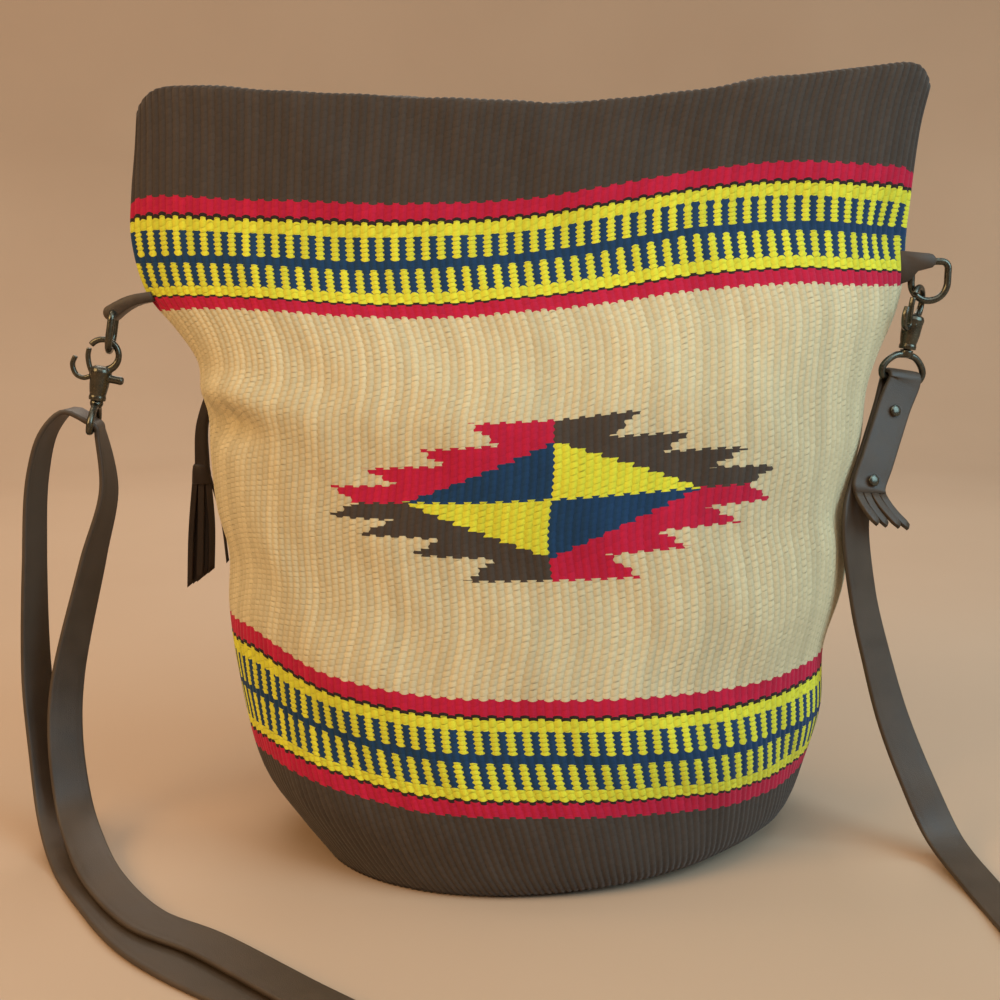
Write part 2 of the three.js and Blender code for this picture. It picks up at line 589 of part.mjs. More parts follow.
// The strap as a ribbon: its section is set square to the centre line at each step.
const strapCurve = new THREE.CatmullRomCurve3(strapStations.map(({ at }) => at), false, 'centripetal');
function strapFrame(t) {
  const last = strapStations.length - 1;
  const i = Math.min(Math.floor(t * last), last - 1);
  const blend = t * last - i;
  const at = strapCurve.getPoint(t);
  const along = strapCurve.getTangent(t);
  const across = strapStations[i].across.clone().lerp(strapStations[i + 1].across, blend);
  across.addScaledVector(along, -across.dot(along)).normalize();
  const face = along.clone().cross(across).normalize();
  return { at, across, face };
}

const strapSteps = [0];
for (let i = 0; i < strapStations.length - 1; i += 1) {
  const span = strapStations[i].at.distanceTo(strapStations[i + 1].at);
  const parts = Math.max(1, Math.round(span / STRAP_STEP));
  for (let k = 1; k <= parts; k += 1) strapSteps.push((i + k / parts) / (strapStations.length - 1));
}
const strapRings = strapSteps.map((t) => {
  const { at, across, face } = strapFrame(t);
  return [[-1, -1], [1, -1], [1, 1], [-1, 1]].map(([u, v]) => {
    const corner = at.clone().addScaledVector(across, (u * STRAP_WIDTH) / 2)
      .addScaledVector(face, (v * STRAP_THICK) / 2);
    return corner.setZ(Math.max(corner.z, v * Math.sign(face.z) < 0 ? GAP : GAP + STRAP_THICK));
  });
});

// Rivets through both layers below the right eye.
const RIVETS = [
  { name: 'upper_strap_rivet', below: 16 },
  { name: 'lower_strap_rivet', below: 49 },
];
const RIVET = { shank: 1.2, head: 2.5, dome: 0.9 };
const rivetPlace = ({ below }) => new THREE.Matrix4()
  .makeRotationFromQuaternion(new THREE.Quaternion().setFromUnitVectors(new THREE.Vector3(0, 0, 1), faceOut))
  .setPosition(atRise(below, 0.1));
const rivetSolid = () => {
  const grip = STRAP_THICK + LAYER / 2 - STRAP_THICK / 2 + GAP + 0.5;
  return closedMesh(turned([
    [0, -grip - RIVET.dome * 0.6], [RIVET.head * 0.8, -grip - RIVET.dome * 0.5], [RIVET.head * 0.9, -grip],
    [RIVET.shank, -grip], [RIVET.shank, grip], [RIVET.head, grip],
    [RIVET.head * 0.75, grip + RIVET.dome * 0.7], [0, grip + RIVET.dome],
  ], 12));
};
const rivetHole = () => new THREE.CylinderGeometry(RIVET.shank + GAP, RIVET.shank + GAP, 14, 10)
  .rotateX(Math.PI / 2);

// Slits that cut the tail's end into a fringe.
const SLITS = { count: 3, length: 15, width: 1, reach: 8 };
const tailEnd = strapFrame(1);
const tailBasis = new THREE.Matrix4().makeBasis(
  tailEnd.across, tailEnd.face, tailEnd.across.clone().cross(tailEnd.face));
const tailSlits = Array.from({ length: SLITS.count }, (_, i) => {
  const offset = STRAP_WIDTH * ((i + 1) / (SLITS.count + 1) - 0.5);
  const middle = tailEnd.at.clone().addScaledVector(tailEnd.across, offset);
  return new THREE.BoxGeometry(SLITS.width, SLITS.reach, 2 * SLITS.length)
    .applyMatrix4(tailBasis).translate(middle.x, middle.y, middle.z);
});

addPiece(purse, 'strap', cut(
  loft(strapRings),
  ...RIVETS.map((rivet) => rivetHole().applyMatrix4(rivetPlace(rivet))),
  ...tailSlits,
), LEATHER_LOOK);
for (const rivet of RIVETS) {
  addPiece(purse, rivet.name, rivetSolid().applyMatrix4(rivetPlace(rivet)), METAL_LOOK);
}

// The slider: a plain rectangular loop round both layers.
const sliderInner = { width: STRAP_WIDTH + 2 * GAP + 0.6, height: 2 * STRAP_THICK + 3 * GAP + 0.4 };
const sliderBox = (grow, length) => new THREE.BoxGeometry(
  length, sliderInner.width + 2 * grow, sliderInner.height + 2 * grow);
const slider = addPiece(purse, 'strap_slider', cut(
  sliderBox(SLIDER.wall, SLIDER.length), sliderBox(0, SLIDER.length + 4)), METAL_LOOK);
slider.position.set(SLIDER.x, SLIDER.y, GAP + SLIDER.wall + sliderInner.height / 2);
slider.rotation.z = THREE.MathUtils.degToRad(SLIDER.heading);

// The tassel: a thong from the back of the panel, a wrapped head, and a fringe cut on the slant.
const TASSEL = { hang: new THREE.Vector3(-152.5, 26, 155), seatAround: -116, seatZ: 186 };
const FRINGE = [
  { side: -3.8, length: 55, lean: -4, width: 2.6, back: 0 },
  { side: -2.1, length: 53.5, lean: -3.2, width: 2.6, back: 1 },
  { side: -0.4, length: 52, lean: -2.4, width: 2.6, back: -0.6 },
  { side: 1.3, length: 50, lean: -1.5, width: 2.6, back: 0.8 },
  { side: 3, length: 48, lean: -0.5, width: 2.6, back: -0.2 },
  { side: 4, length: 44, lean: 6, width: 1.2, back: 0.6 },
];
const FRINGE_THICK = 1.6;

function tasselSolid() {
  const seat = bodyPoint(TASSEL.seatAround, alongAt(TASSEL.seatZ));
  const outward = new THREE.Vector3(Math.sin(THREE.MathUtils.degToRad(TASSEL.seatAround)),
    -Math.cos(THREE.MathUtils.degToRad(TASSEL.seatAround)), 0);
  const knot = TASSEL.hang;
  const thong = new THREE.ExtrudeGeometry(circle(1.7, 8), { steps: 12, bevelEnabled: false,
    extrudePath: new THREE.CatmullRomCurve3([
      seat.clone().addScaledVector(outward, GAP + 1.2),
      seat.clone().lerp(knot, 0.55).setZ(seat.z + 2.5),
      knot.clone().add(new THREE.Vector3(1.2, 0, 22)),
      knot,
    ]) });
  const head = new THREE.CylinderGeometry(3.6, 5, 8, 12).rotateX(Math.PI / 2)
    .scale(1, 0.6, 1).translate(knot.x, knot.y, knot.z - 2);
  const strips = FRINGE.map(({ side, length, lean, width, back }) => {
    const top = knot.clone().add(new THREE.Vector3(side * 0.8, back, -3));
    const end = knot.clone().add(new THREE.Vector3(side + lean, back * 1.4, -length));
    const quad = [[-1, -1], [1, -1], [1, 1], [-1, 1]];
    return loft([top, end].map((p) => quad.map(([u, v]) => new THREE.Vector3(
      p.x + (u * width) / 2, p.y + (v * FRINGE_THICK) / 2, p.z + (p === end ? u * 1.2 : 0)))));
  });
  return union(thong, head, ...strips);
}
addPiece(purse, 'tassel', tasselSolid(), { color: TASSEL_LEATHER, roughness: 0.55, metalness: 0 });

export default purse;
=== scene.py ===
import math

import bpy
import numpy as np
from mathutils import Matrix, Vector


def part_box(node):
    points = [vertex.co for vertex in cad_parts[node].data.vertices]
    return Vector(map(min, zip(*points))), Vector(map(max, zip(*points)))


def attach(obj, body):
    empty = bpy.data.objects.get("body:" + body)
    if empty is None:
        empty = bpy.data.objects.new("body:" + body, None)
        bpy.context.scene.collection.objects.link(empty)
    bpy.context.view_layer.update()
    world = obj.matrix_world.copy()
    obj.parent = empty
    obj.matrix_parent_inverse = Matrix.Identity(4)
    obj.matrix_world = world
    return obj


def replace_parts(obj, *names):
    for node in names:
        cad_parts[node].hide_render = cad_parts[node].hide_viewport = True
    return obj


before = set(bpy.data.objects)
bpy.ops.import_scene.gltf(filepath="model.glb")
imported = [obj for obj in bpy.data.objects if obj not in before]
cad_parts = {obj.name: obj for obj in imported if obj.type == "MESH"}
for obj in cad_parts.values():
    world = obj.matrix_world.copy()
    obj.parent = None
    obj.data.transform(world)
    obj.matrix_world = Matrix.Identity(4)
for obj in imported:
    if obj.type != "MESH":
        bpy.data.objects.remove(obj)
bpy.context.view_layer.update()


def table(columns, *rows):
    """Rows of a table, each by the names of its columns."""
    return [dict(zip(columns.split(), row)) for row in rows]


# The woven body
# A wool panel, weft packed over heavy warps so that every warp stands up as a rib, sewn into a tube along
# both sides. It is set on an oval base, sags over its own weight and closes flat at the mouth.

MM = 0.001
CLOTH = 2.8
# The wall thickens towards the side seams, most where they are pinched flat. Its slope is taken over a short
# step up and down the panel.
SEAM_EXTRA = 3.2
SEAM_PINCH = 0.6
SLOPE_STEP = 0.5
SECTIONS = table(
    "z left right depth pinch_left pinch_right swing",
    (0.3, 92.5, 103, 83, 1, 1, 11),
    (4, 97, 110, 88, 1, 1, 8),
    (12, 106, 117.5, 90, 1, 1, 5),
    (30, 120.5, 124, 90, 1, 1, 4),
    (55, 130.5, 128, 87, 1, 1, 0),
    (80, 135, 128.5, 82, 1, 1, 0),
    (105, 134.5, 136, 75, 1, 1, 0),
    (125, 139, 138, 70, 1, 1, 0),
    (140, 140.5, 136, 68.5, 1, 1, 0),
    (165, 142, 141.5, 65, 1, 1, 0),
    (185, 144, 143, 61, 1.05, 1, 0),
    (200, 146, 148, 54, 1.15, 1.05, 0),
    (215, 154.5, 154.5, 45, 1.3, 1.1, 0),
    (232, 167, 158, 35, 1.5, 1.2, 0),
    (255, 173, 159, 27, 1.6, 1.25, 0),
    (275, 172, 160, 24, 1.6, 1.25, 0),
    (295, 169.5, 162, 22, 1.6, 1.25, 0),
    (310, 168, 165, 21, 1.6, 1.25, 0),
)
SAG = table(
    "around rim upper lower",
    (-90, -2, 2, 20),
    (-73, 7.5, 1.8, 18.5),
    (-60, 8.5, 1.5, 17),
    (-40, 5.5, -0.5, 6),
    (-20, 3, -2.5, 1),
    (0, 0, 0.5, 0),
    (20, 4, 7.5, 0),
    (40, 11.5, 13, 0),
    (60, 16.5, 13, 2),
    (75, 17.5, 12.5, 3),
    (90, 9, 12, 4),
)
LOWER_STRIPES_Z = 80
UPPER_STRIPES_Z = 250
FOLDS = table(
    "around z reach_around reach_up depth",
    (-68, 172, 13, 9, 7),
    (-64, 186, 18, 8, -3),
    (-40, 158, 20, 26, 3),
    (72, 246, 12, 14, 3.5),
    (35, 120, 26, 34, -2.5),
)
# Slack that is too slight for a fold: height, wave lengths round and up, and where it starts.
SLACK_WAVES = table(
    "height round_mm up_mm start",
    (0.55, 96, 70, 0.4),
    (0.4, 57, -120, 2.1),
    (0.25, 31, 44, 4.0),
)


def column(table, name):
    return np.array([row[name] for row in table], float)


def smooth_column(knots, values, at):
    """A smooth curve through a table's rows."""
    at = np.asarray(at, float)
    low = np.maximum(np.arange(len(knots)) - 1, 0)
    high = np.minimum(np.arange(len(knots)) + 1, len(knots) - 1)
    slope = (values[high] - values[low]) / (knots[high] - knots[low])
    i = np.clip(np.searchsorted(knots, at) - 1, 0, len(knots) - 2)
    span = knots[i + 1] - knots[i]
    t = (at - knots[i]) / span
    return ((1 + 2 * t) * (1 - t) ** 2 * values[i] + t * (1 - t) ** 2 * span * slope[i]
            + t * t * (3 - 2 * t) * values[i + 1] + t * t * (t - 1) * span * slope[i + 1])


def lengths_along(path):
    """Length from the start of a path to each of its points."""
    return np.concatenate([[0], np.cumsum(np.linalg.norm(np.diff(path, axis=0), axis=1))])


def full_turn(steps):
    """Angles all the way round, without the last that would be the first again."""
    return np.linspace(0, 2 * math.pi, steps, endpoint=False)


# Panel length from the base seam to each section, measured up the middle of the front.
RISES = np.hypot(np.diff(column(SECTIONS, "z")), np.diff(column(SECTIONS, "depth")))
ALONG = np.concatenate([[0], np.cumsum(RISES)])
PANEL_LENGTH = ALONG[-1]


def along_at(z):
    return smooth_column(column(SECTIONS, "z"), ALONG, z)


def section_at(along):
    return {name: smooth_column(ALONG, column(SECTIONS, name), along) for name in SECTIONS[0]}


def sag_at(degrees, along):
    from_front = np.where(np.abs(degrees) > 90, np.sign(degrees) * (180 - np.abs(degrees)), degrees)
    rise = {name: smooth_column(column(SAG, "around"), column(SAG, name), from_front) for name in SAG[0]}
    low = along_at(LOWER_STRIPES_Z)
    high = along_at(UPPER_STRIPES_Z)
    from_base = np.clip(along / low, 0, 1)
    share = np.clip((along - low) / (high - low), 0, 1)
    to_upper = share * share * (3 - 2 * share)
    to_rim = np.clip((along - high) / (PANEL_LENGTH - high), 0, 1)
    return (rise["lower"] * from_base ** 2 * (1 - to_upper)
            + (rise["upper"] * (1 - to_rim) + rise["rim"] * to_rim) * to_upper)


def fold_depth(degrees, along):
    turn = (np.asarray(degrees) + 180) % 360 - 180
    return sum(
        fold["depth"] * np.exp(-((turn - fold["around"]) / fold["reach_around"]) ** 2
                               - ((along - along_at(fold["z"])) / fold["reach_up"]) ** 2)
        for fold in FOLDS)


def body_point(degrees, along, inset=0.0, folded=1.0):
    """Points of the panel; inset is 0 outside and CLOTH inside, and folded 0 leaves out the folds."""
    row = section_at(along)
    below = section_at(np.maximum(along - SLOPE_STEP, 0))
    above = section_at(np.minimum(along + SLOPE_STEP, PANEL_LENGTH))
    run_out = above["depth"] - below["depth"]
    run_up = above["z"] - below["z"]
    run = np.hypot(run_out, run_up)
    run_out, run_up = run_out / run, run_up / run
    angle = np.radians(degrees)
    across = np.cos(angle)
    pinch = np.where(np.sin(angle) < 0, row["pinch_left"], row["pinch_right"])
    thick_end = inset * (1 + (SEAM_EXTRA / CLOTH) * (pinch - 1) / SEAM_PINCH)
    half_width = (row["left"] + row["right"]) / 2 - thick_end * run_up
    half_depth = row["depth"] - inset * run_up
    dent = folded * fold_depth(degrees, along)
    x = (row["right"] - row["left"]) / 2 + half_width * np.sin(angle)
    y = -half_depth * np.sign(across) * np.abs(across) ** pinch + x * np.tan(np.radians(row["swing"]))
    z = row["z"] + inset * run_out + sag_at(degrees, along)
    return np.stack([x - dent * np.sin(angle), y + dent * across, z], -1)


# The weave plan, from the base seam to the rim. A ladder is woven with a yellow and a navy weft in turn:
# each shows on every second rib, and the rib changes over at the navy line.
YARNS = {
    "brown": (0.058, 0.044, 0.035),
    "red": (0.45, 0.0105, 0.045),
    "dark": (0.026, 0.017, 0.014),
    "yellow": (0.66, 0.64, 0.042),
    "navy": (0.0105, 0.042, 0.105),
    "cream": (0.57, 0.487, 0.302),
}
BAND = table(
    "even odd passes lower_mm upper_mm",
    ("red", "red", 5, 5.3, 4.8),
    ("dark", "dark", 1, 1.3, 1.3),
    ("yellow", "yellow", 3, 3.8, 3.9),
    ("yellow", "navy", 11, 10.2, 9.9),
    ("navy", "navy", 2, 3.0, 3.2),
    ("navy", "yellow", 11, 9.5, 9.2),
    ("yellow", "yellow", 3, 4.0, 4.5),
    ("dark", "dark", 1, 1.3, 1.4),
    ("red", "red", 5, 6.2, 6.0),
)
# How the ends of the beads are rounded, by passes from the band's first: the lighter yarn bulges over the
# darker, upwards (+) or downwards (-).
CROWNS = table("start crown", (-3, 1), (3, -1), (7.5, 1), (21, -1), (34.5, 1), (39.5, -1), (45, 0))
FOOT = dict(passes=28, mm=37.6)
FIELD = dict(passes=118, mm=158.7)
HEAD_PASSES = 28
BAND_PASSES = sum(stripe["passes"] for stripe in BAND)
LOWER_START = FOOT["passes"]
UPPER_START = FOOT["passes"] + BAND_PASSES + FIELD["passes"]
UPPER_END = UPPER_START + BAND_PASSES

# How far the handwork draws the bands' edges and the diamond's middle up (+) or down (-), in passes by rib.
DRAWN = table(
    "rib lower_start lower_end middle upper_start upper_end",
    (0, 2.0, 0.5, -3.0, -4.0, 0.0),
    (14, 4.0, 1.0, -4.5, -1.2, -0.2),
    (26, 3.2, 1.0, -4.5, -1.0, 0.3),
    (38, 0.5, 0.5, -1.0, -1.3, 0.1),
    (56, 0.2, 0.8, 0.0, -1.8, 1.1),
    (76, -3.2, 0.5, 0.2, -1.2, 4.2),
    (86, -4.4, 0.7, -0.4, -2.4, 3.8),
    (102, -3.0, 0.5, -0.4, -2.7, 1.4),
    (124, 0.0, 0.0, 0.0, 0.0, 0.0),
    (200, 0.0, 0.0, 0.0, 0.0, 0.0),
    (216, 2.0, 0.5, -3.0, -4.0, 0.0),
)

RIBS = 216
RIB_PROFILE = table("share height", (0.0, -0.36), (0.22, 0.06), (0.5, 0.22), (0.78, 0.06))
RIB_MM = 3.1
ROW_STEP = 4.4
INNER_ROWS = 11
TURN_STEPS = 541
RIM_ROLL = dict(turns=(45, 90, 135), passes=3)
# The slack grows from nothing at the base seam to its full height, and dies away beside the side seams.
SLACK_FULL_MM = 40
SLACK_BESIDE_SEAM = 4
FLOOR_CLEARANCE = 0.05


def woven_rows():
    """(mm along the panel, weft passes) of every row of the outside, with a row on each stripe's edge."""
    stripes = [(FOOT["passes"], FOOT["mm"])]
    stripes += [(stripe["passes"], stripe["lower_mm"]) for stripe in BAND]
    stripes += [(FIELD["passes"], FIELD["mm"])]
    stripes += [(stripe["passes"], stripe["upper_mm"]) for stripe in BAND]
    stripes += [(HEAD_PASSES, PANEL_LENGTH - sum(mm for passes, mm in stripes))]
    rows = [(0.0, 0.0)]
    for passes, mm in stripes:
        steps = math.ceil(mm / ROW_STEP)
        start = rows[-1]
        rows += [(start[0] + mm * i / steps, start[1] + passes * i / steps) for i in range(1, steps + 1)]
    return rows


rib_at = np.array([rib + phase["share"] for rib in range(RIBS) for phase in RIB_PROFILE])
rib_height = np.array([phase["height"] for rib in range(RIBS) for phase in RIB_PROFILE])


def rib_degrees(along):
    """Degrees around of every column, with the ribs evenly spaced over the front and over the back."""
    found = []
    for start, half in ((-90, rib_at[rib_at < RIBS / 2]), (90, rib_at[rib_at >= RIBS / 2] - RIBS / 2)):
        turn = np.linspace(start, start + 180, TURN_STEPS)
        path = body_point(turn, np.full_like(turn, along), folded=0.0)
        run = lengths_along(path)
        found.append(np.interp(half / (RIBS / 2) * run[-1], run, turn))
    return np.concatenate(found)


outer_rows = woven_rows()
roll = [(PANEL_LENGTH, turn) for turn in RIM_ROLL["turns"]]
inner_rows = [(PANEL_LENGTH * (1 - i / INNER_ROWS), outer_rows[-1][1] * (1 - i / INNER_ROWS))
              for i in range(INNER_ROWS + 1)]
panel_rows = [dict(along=along, passes=passes, inset=0.0, lift=0.0) for along, passes in outer_rows]
panel_rows += [dict(along=along, passes=outer_rows[-1][1] + RIM_ROLL["passes"] * math.sin(math.radians(turn)),
                    inset=CLOTH * (1 - math.cos(math.radians(turn))) / 2,
                    lift=CLOTH * math.sin(math.radians(turn)) / 2) for along, turn in roll]
panel_rows += [dict(along=along, passes=passes, inset=CLOTH, lift=0.0) for along, passes in inner_rows]

panel = []
for row in panel_rows:
    degrees = rib_degrees(row["along"])
    ring = body_point(degrees, np.full_like(degrees, row["along"]), row["inset"])
    ring[:, 2] += row["lift"]
    panel.append(ring)
panel = np.array(panel)

# Every point stands off the smooth panel by its rib and by the slack of the cloth.
around_step = np.roll(panel, -1, 1) - np.roll(panel, 1, 1)
up_step = np.gradient(panel, axis=0)
outward = np.cross(around_step, up_step)
outward /= np.maximum(np.linalg.norm(outward, axis=2, keepdims=True), 1e-9)
is_inner = np.array([row["inset"] >= CLOTH / 2 for row in panel_rows])
rows_along = np.array([row["along"] for row in panel_rows])
slack = sum(
    wave["height"] * np.sin(2 * math.pi * (rib_at[None, :] * RIB_MM / wave["round_mm"]
                                            + rows_along[:, None] / wave["up_mm"]) + wave["start"])
    for wave in SLACK_WAVES)
slack *= np.clip(rows_along[:, None] / SLACK_FULL_MM, 0, 1)
slack *= np.clip(np.sin(2 * math.pi * rib_at[None, :] / RIBS) ** 2 * SLACK_BESIDE_SEAM, 0, 1)
slack *= np.where(is_inner, -1.0, 1.0)[:, None]
panel = panel + outward * (rib_height[None, :, None] + slack[:, :, None])
panel[..., 2] = np.maximum(panel[..., 2], FLOOR_CLEARANCE)


def new_object(name, data):
    """An object of the scene that shows a mesh, a light or a camera."""
    shown = bpy.data.objects.new(name, data)
    bpy.context.scene.collection.objects.link(shown)
    return shown


def new_surface(name, points, faces, material):
    """A smooth-shaded mesh of points in m."""
    mesh = bpy.data.meshes.new(name)
    mesh.from_pydata(points, [], faces)
    mesh.polygons.foreach_set("use_smooth", [True] * len(mesh.polygons))
    mesh.materials.append(material)
    mesh.update()
    return new_object(name, mesh)


def add_piece(name, points, faces, material, body, slot):
    """A mesh of points in mm that rides on a body of the frame; the slot is not used."""
    piece = new_surface(name, (np.asarray(points, float) * MM).tolist(), faces, material)
    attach(piece, body)
    return piece


def feed(tree, socket, value):
    """Gives a node's input another node's output, a plain RGB colour or a plain number."""
    if isinstance(value, bpy.types.NodeSocket):
        tree.links.new(value, socket)
    elif isinstance(value, tuple):
        socket.default_value = (*value, 1)
    else:
        socket.default_value = value


def calc(tree, operation, *values):
    """The output of a Math node whose inputs are sockets or plain numbers."""
    node = tree.nodes.new("ShaderNodeMath")
    node.operation = operation
    for socket, value in zip(node.inputs, values):
        feed(tree, socket, value)
    return node.outputs[0]


def mix_colour(tree, share, first, second, blend="MIX"):
    """The colour output of a Mix node; colours are sockets or plain RGB."""
    node = tree.nodes.new("ShaderNodeMix")
    node.data_type = "RGBA"
    node.blend_type = blend
    for socket, value in ((node.inputs[0], share), (node.inputs[6], first), (node.inputs[7], second)):
        feed(tree, socket, value)
    return node.outputs[2]


def noise(tree, vector, scale, detail=2.0):
    node = tree.nodes.new("ShaderNodeTexNoise")
    node.inputs["Scale"].default_value = scale
    node.inputs["Detail"].default_value = detail
    tree.links.new(vector, node.inputs["Vector"])
    return node.outputs["Fac"]


def vector_of(tree, x, y, z=0.0):
    node = tree.nodes.new("ShaderNodeCombineXYZ")
    for socket, value in zip(node.inputs, (x, y, z)):
        feed(tree, socket, value)
    return node.outputs[0]


def new_material(name):
    """A material, and its tree and shader to be wired up."""
    material = bpy.data.materials.new(name)
    material.use_nodes = True
    return material, material.node_tree, material.node_tree.nodes["Principled BSDF"]


def raise_surface(tree, shader, height, strength, height_mm):
    """Bumps the shaded surface; a height of 1 stands for so many mm."""
    bump = tree.nodes.new("ShaderNodeBump")
    bump.inputs["Strength"].default_value = strength
    bump.inputs["Distance"].default_value = height_mm * MM
    tree.links.new(height, bump.inputs["Height"])
    tree.links.new(bump.outputs["Normal"], shader.inputs["Normal"])


def new_group(name, inputs, outputs):
    """An empty shader group with named number sockets, and its input and output nodes."""
    group = bpy.data.node_groups.new(name, "ShaderNodeTree")
    for direction, names in (("INPUT", inputs), ("OUTPUT", outputs)):
        for socket in names:
            group.interface.new_socket(socket, in_out=direction, socket_type="NodeSocketFloat")
    return group, group.nodes.new("NodeGroupInput"), group.nodes.new("NodeGroupOutput")


def place_group(tree, group):
    node = tree.nodes.new("ShaderNodeGroup")
    node.node_tree = group
    return node


# A weft bead is two passes tall and covers one rib; beads on neighbouring ribs are staggered by one pass.
# Each swells at its middle over its neighbours, and lies a little on the slant. A change of yarn follows
# the rounded ends of the beads, which step less than the beads themselves.
BEAD_SWELL = 0.13
BEAD_SLANT = 0.3
YARN_STEP = 0.62
FIBRES = dict(per_rib=1.6, per_pass=4.5, detail=3.0)
BEAD_VALUES = ["Rib Number", "Yarn Pass", "Dome", "End", "Bead Chance", "Rib Chance", "Fibre"]
weft_beads, given, made = new_group("weft_beads", ["Rib", "Pass", "Crown"], BEAD_VALUES)
rib_wave = calc(weft_beads, "COSINE", calc(weft_beads, "MULTIPLY", given.outputs["Rib"], math.pi))
pass_wave = calc(weft_beads, "COSINE", calc(weft_beads, "MULTIPLY", given.outputs["Pass"], math.pi))
swell = calc(weft_beads, "MULTIPLY", pass_wave, BEAD_SWELL)
swollen = calc(weft_beads, "MULTIPLY_ADD", rib_wave, swell, given.outputs["Rib"])
rib_number = calc(weft_beads, "FLOOR", swollen)
rib_odd = calc(weft_beads, "FLOORED_MODULO", rib_number, 2)
side_of_bead = calc(weft_beads, "SUBTRACT", given.outputs["Rib"], rib_number)
side_of_bead = calc(weft_beads, "MULTIPLY_ADD", side_of_bead, 2, -1)
arched = calc(weft_beads, "SUBTRACT", 0.5, calc(weft_beads, "MULTIPLY", side_of_bead, side_of_bead))
arched = calc(weft_beads, "MULTIPLY", arched, given.outputs["Crown"])
straight = calc(weft_beads, "SUBTRACT", given.outputs["Pass"], arched)
yarn_pass = calc(weft_beads, "MULTIPLY_ADD", calc(weft_beads, "SUBTRACT", 0.5, rib_odd), YARN_STEP, straight)
straight = calc(weft_beads, "MULTIPLY_ADD", side_of_bead, -BEAD_SLANT, straight)
pair = calc(weft_beads, "SUBTRACT", straight, rib_odd)
pair = calc(weft_beads, "FLOOR", calc(weft_beads, "MULTIPLY_ADD", pair, 0.5, 0.5))
pass_number = calc(weft_beads, "MULTIPLY_ADD", pair, 2, rib_odd)
up_bead = calc(weft_beads, "ABSOLUTE", calc(weft_beads, "SUBTRACT", straight, pass_number))
across_bead = calc(weft_beads, "MINIMUM", calc(weft_beads, "ABSOLUTE", side_of_bead), 1)
across_dome = calc(weft_beads, "SUBTRACT", 1, calc(weft_beads, "POWER", across_bead, 4))
up_dome = calc(weft_beads, "SUBTRACT", 1, calc(weft_beads, "POWER", up_bead, 3))
dome = calc(weft_beads, "MULTIPLY", across_dome, up_dome)
end = calc(weft_beads, "MULTIPLY", calc(weft_beads, "POWER", up_bead, 5),
           calc(weft_beads, "SUBTRACT", 1, calc(weft_beads, "POWER", across_bead, 2)))
chances = []
for place in (vector_of(weft_beads, rib_number, pass_number), vector_of(weft_beads, rib_number, 0.5)):
    chance = weft_beads.nodes.new("ShaderNodeTexWhiteNoise")
    chance.noise_dimensions = "2D"
    weft_beads.links.new(place, chance.inputs["Vector"])
    chances.append(chance.outputs["Value"])
fibre_place = vector_of(weft_beads, calc(weft_beads, "MULTIPLY", given.outputs["Rib"], FIBRES["per_rib"]),
                        calc(weft_beads, "MULTIPLY", straight, FIBRES["per_pass"]))
fibre = noise(weft_beads, fibre_place, 1.0, FIBRES["detail"])
for name, socket in zip(BEAD_VALUES, (rib_number, yarn_pass, dome, end, *chances, fibre)):
    weft_beads.links.new(socket, made.inputs[name])


def wool_material(name):
    """A rough woollen finish, and its tree and shader to be wired up."""
    material, tree, shader = new_material(name)
    shader.inputs["Roughness"].default_value = 0.9
    shader.inputs["Sheen Weight"].default_value = 0.12
    shader.inputs["Sheen Roughness"].default_value = 0.5
    shader.inputs["Specular IOR Level"].default_value = 0.15
    return material, tree, shader


# Shade is painted into the joints between beads, more on pale yarn, and a few pale beads get a painted
# slit shadow at their ends. The tone differs by bead, by rib and by strand, and beads of dark yarn stand up
# less.
WOOL = dict(roundness=0.6, pale_gain=1.8, joint_shade=0.06, pale_joint_shade=0.03, slit_shadow_gain=2.9, slit_shadow_from=1.9,
            slit_shadow_darkness=0.7, bead_tone=0.1, rib_tone=0.16, strand_tone=0.3, strand_height=0.3, dark_relief=0.4)


def about_one(tree, chance, spread):
    """A brightness that differs by the spread, half of it above 1 and half below."""
    return calc(tree, "MULTIPLY_ADD", chance, spread, 1 - spread / 2)


